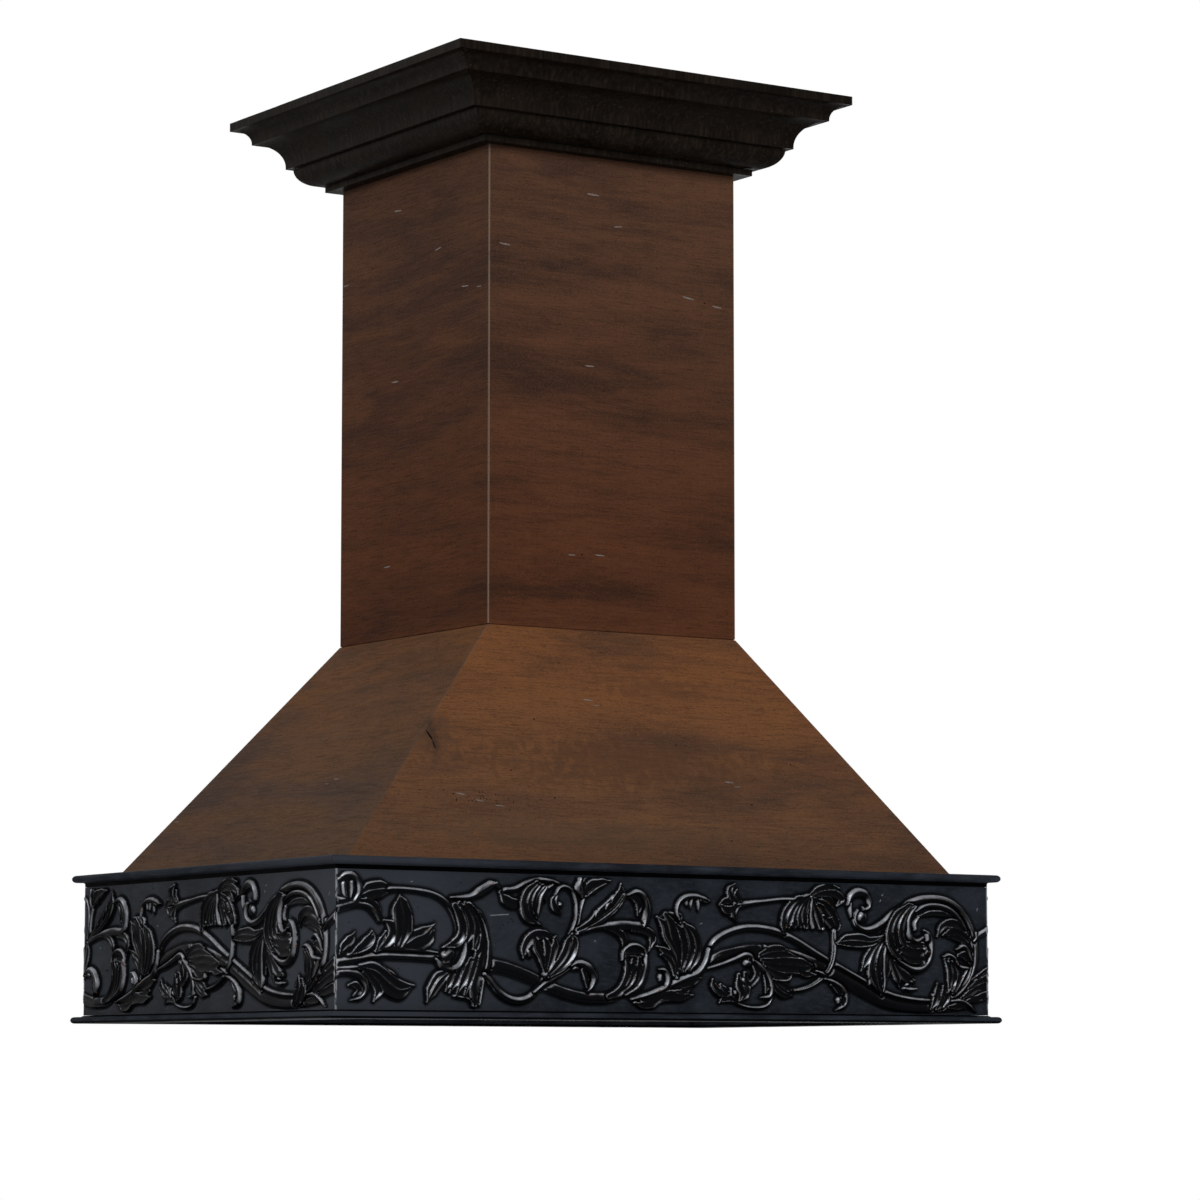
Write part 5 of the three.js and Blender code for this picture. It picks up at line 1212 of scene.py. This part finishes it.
def placed(scores, holes, side, out_at):
    """Marks given as (along, up, ...), put on a side's face, which stands out as far as out_at says."""
    return (
        [score(along, out_at(side, up), up, *shape) for along, up, *shape in scores]
        + [hole(along, out_at(side, up), up, *shape) for along, up, *shape in holes]
    )


def panel_out(side, up):
    share = (up - canopy_foot) / (canopy_head - canopy_foot)
    return panel_foot[side] + (chimney_face[side] - panel_foot[side]) * share


def board_out(side, up):
    return chimney_face[side]


# A knot by the near hip, with dark smoke round it.
knot_up = 0.318
knot_place = (-0.280, -panel_out("front", knot_up), knot_up)
knot_smoke = [
    (knot_place, (0.010, 0.02, 0.030), (0.020, 0.013, 0.009), 0.85),
    (knot_place, (0.045, 0.05, 0.055), (0.052, 0.030, 0.019), 0.5),
]

# Where the stain pooled on the front: along, up, half sizes, colour and strength.
stain_pools = [
    (-0.020, 0.300, (0.26, 0.12, 0.045), (0.058, 0.028, 0.0155), 0.62),
    (-0.100, 0.212, (0.32, 0.12, 0.026), (0.060, 0.037, 0.0235), 0.50),
    (0.040, 0.392, (0.12, 0.10, 0.018), (0.070, 0.032, 0.0165), 0.45),
]


def canopy_stain(name, seed, shade):
    """The canopy's stain, with its colours times the shade."""
    light, middle, dark = (
        [part * level for part, level in zip(colour, shade)]
        for colour in ((0.113, 0.049, 0.0215), (0.086, 0.039, 0.0195), (0.055, 0.029, 0.0180))
    )
    # Painted light: darker and cooler at the canopy's foot, lighter and warmer at its head.
    material, tree, shader, tone = stained_walnut(
        name, light, middle, dark, seed, (0.84, 0.95, 1.12), (1.18, 1.08, 0.96), canopy_foot, canopy_head,
    )
    spots = [((along, -panel_out("front", up), up), *pool) for along, up, *pool in stain_pools]
    for place, size, colour, strength in spots + knot_smoke:
        tone = smoke_spot(tree, tone, place, size, colour, strength)
    link_worn(tree, shader, tone, 0.25, hip_foot, hip_lean, canopy_foot)
    return material


# The end panels come from a darker, greyer board than the long ones.
canopy_walnut = canopy_stain("canopy_walnut", 1.3, (1, 1, 1))
end_walnut = canopy_stain("canopy_walnut_ends", 3.7, (0.80, 0.90, 1.00))

# The front and left panels' scores as (along, up, length, width, tilt), and worm holes as (along, up, size).
canopy_scores = {
    "front": [
        (-0.055, 0.372, 0.018, 0.0018, 0.1), (-0.047, 0.366, 0.010, 0.0014, -0.1),
        (0.121, 0.281, 0.016, 0.0018, 0.05), (0.131, 0.276, 0.009, 0.0014, 0.0),
        (-0.255, 0.254, 0.020, 0.0020, 0.15), (-0.231, 0.247, 0.016, 0.0016, 0.15),
        (-0.206, 0.242, 0.012, 0.0016, 0.1),
    ],
    "left": [
        (0.1005, 0.2758, 0.020, 0.0020, 0.1), (0.0850, 0.2710, 0.010, 0.0016, 0.1),
        (-0.2344, 0.2415, 0.016, 0.0018, -0.1),
    ],
}
front_holes = [
    (-0.137, 0.346, 0.0022), (0.001, 0.334, 0.0018), (0.055, 0.323, 0.0020), (-0.182, 0.284, 0.0020),
    (-0.130, 0.2535, 0.0022), (0.216, 0.3056, 0.0020), (0.146, 0.2547, 0.0022), (0.106, 0.2105, 0.0018),
]
knot_cracks = [(-0.2830, 0.321, 0.020, 0.0026, 1.05), (-0.2790, 0.310, 0.012, 0.0016, 1.30)]
rng = random.Random(31)
patch_by_the_scores = [(rng.gauss(-0.235, 0.026), rng.gauss(0.249, 0.0045), 0.0016) for _ in range(22)]
canopy_holes = {"front": front_holes + knot_cracks + patch_by_the_scores, "left": []}
for number, side in enumerate(SIDES):
    if side in canopy_scores:
        marks = placed(canopy_scores[side], canopy_holes[side], side, panel_out)
    else:
        low, high = canopy_foot + end_clearance, canopy_head - end_clearance
        marks = scattered(canopy_seed + number, canopy_count, side, panel_foot, chimney_face, low, high)
    walnut = end_walnut if side in ("right", "left") else canopy_walnut
    node_name = f"canopy_panel_{side}"
    distressed_board(node_name, f"canopy_board_{side}", side, walnut, marks)


# Hip battens: three-cornered lengths of bare timber glued up the inside of the hips.
# Their grain follows the hips.
hip_run = [abs(chimney_face[side]) - abs(panel_foot[side]) for side in ("left", "front")]
hip_grain = Vector((*hip_run, canopy_head - canopy_foot)).normalized()
hip_timber = bare_timber("hip_timber", (120, 120, 5), hip_grain)
dress("hip_batten", CORNERS, hip_timber)


# Neck frame and ceiling frame: two rectangles of flat bare rails, butted at the corners and screwed to
# the chimney's corner posts. The upper one is what the cover is fixed to the ceiling by.
long_timber = bare_timber("long_timber", (5, 120, 120))
deep_timber = bare_timber("deep_timber", (120, 5, 120))
for kind in ("neck_rail", "ceiling_rail"):
    dress(kind, ("front", "back"), long_timber)
    dress(kind, ("right", "left"), deep_timber)
dress("chimney_post", CORNERS, upright_timber)


# Chimney: four walnut boards mitred at the corners, stained as the canopy is but a shade darker.
# Someone has scored them here and there along the grain, and a few scores end in dark dots.
chimney_seed, chimney_count = 80, 14
chimney_low, chimney_high = canopy_head + 0.03, 1.0
# Painted light: darker and warmer at the chimney's foot, lighter at its head.
chimney_walnut, chimney_tree, chimney_shader, chimney_tone = stained_walnut(
    "chimney_walnut", (0.077, 0.0325, 0.0180), (0.057, 0.0245, 0.0150), (0.034, 0.0170, 0.0122), 6.1,
    (0.90, 0.78, 0.65), (0.91, 1.02, 1.05), canopy_head, chimney_high,
)
link_worn(chimney_tree, chimney_shader, chimney_tone, 1.0, hip_head)
chimney_scores = {
    "front": [
        (-0.1526, 0.905, 0.016, 0.0020, 0.1), (-0.0296, 0.977, 0.018, 0.0020, 0.05),
        (0.006, 0.942, 0.012, 0.0018, -0.1), (0.107, 0.866, 0.018, 0.0020, 0.15),
        (0.149, 0.859, 0.014, 0.0020, 0.1), (-0.034, 0.771, 0.014, 0.0018, 0.0),
        (-0.059, 0.545, 0.010, 0.0016, 0.0), (-0.020, 0.547, 0.014, 0.0018, 0.05),
    ],
    "left": [
        (-0.0373, 0.976, 0.018, 0.0020, 0.1), (0.0562, 0.915, 0.016, 0.0018, -0.1),
        (-0.1615, 0.903, 0.014, 0.0018, 0.0), (0.1178, 0.861, 0.016, 0.0020, 0.1),
        (0.1491, 0.856, 0.010, 0.0016, 0.1), (-0.0424, 0.768, 0.018, 0.0020, 0.05),
        (-0.0590, 0.5455, 0.016, 0.0018, 0.0),
    ],
}
chimney_holes = {"front": [(0.131, 0.862, 0.0022), (-0.045, 0.546, 0.0020)], "left": []}
for number, side in enumerate(SIDES):
    if side in chimney_scores:
        marks = placed(chimney_scores[side], chimney_holes[side], side, board_out)
    else:
        seed = chimney_seed + number
        marks = scattered(
            seed, chimney_count, side, chimney_face, chimney_face, chimney_low, chimney_high,
        )
    node_name = f"chimney_board_{side}"
    distressed_board(node_name, f"chimney_side_{side}", side, chimney_walnut, marks)


# Crown: a deep cornice, a bed moulding and a square strip, each run in four mitred lengths and sprayed a
# brown black. The coves keep faint upright brush streaks, and the thin arrises are rubbed pale.
crown_half_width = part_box("crown_cornice_right")[1].x
crown_half_depth = -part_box("crown_cornice_front")[0].y
crown_black = black_finish(
    "crown_black", body=(0.0031, 0.0021, 0.0014), worn=(0.060, 0.050, 0.042), roughness=0.36, specular=0.020,
    grain=(260, 260, 14), corner=crown_half_width + crown_half_depth, streak=0.75,
)
for side in SIDES:
    for part in ("cornice", "bed", "strip"):
        node_name, name = f"crown_{part}_{side}", f"crown_{part}_moulding_{side}"
        run_moulding(node_name, name, side, crown_half_width, crown_black)


# Screws: eight zinc-plated countersunk wood screws, four up into the posts from the neck frame and four
# down into them from the ceiling frame.
zinc, zinc_tree, zinc_shader = new_finish("zinc_plate", 0.35, 0.5)
zinc_shader.inputs["Metallic"].default_value = 1.0
film = cloud(zinc_tree, (160, 160, 160), 3.0)
zinc_tone = blend_colour(
    zinc_tree, spread(zinc_tree, film, 0.35, 0.7), (0.55, 0.56, 0.58), (0.42, 0.42, 0.40),
)
zinc_tree.links.new(zinc_tone, zinc_shader.inputs["Base Color"])
zinc_tree.links.new(spread(zinc_tree, film, 0.3, 0.7, 0.28, 0.45), zinc_shader.inputs["Roughness"])
add_bump(zinc_tree, zinc_shader, cloud(zinc_tree, (900, 900, 900), 2.0), 0.0001, 0.3)
dress("neck_screw", CORNERS, zinc)
dress("ceiling_screw", CORNERS, zinc)
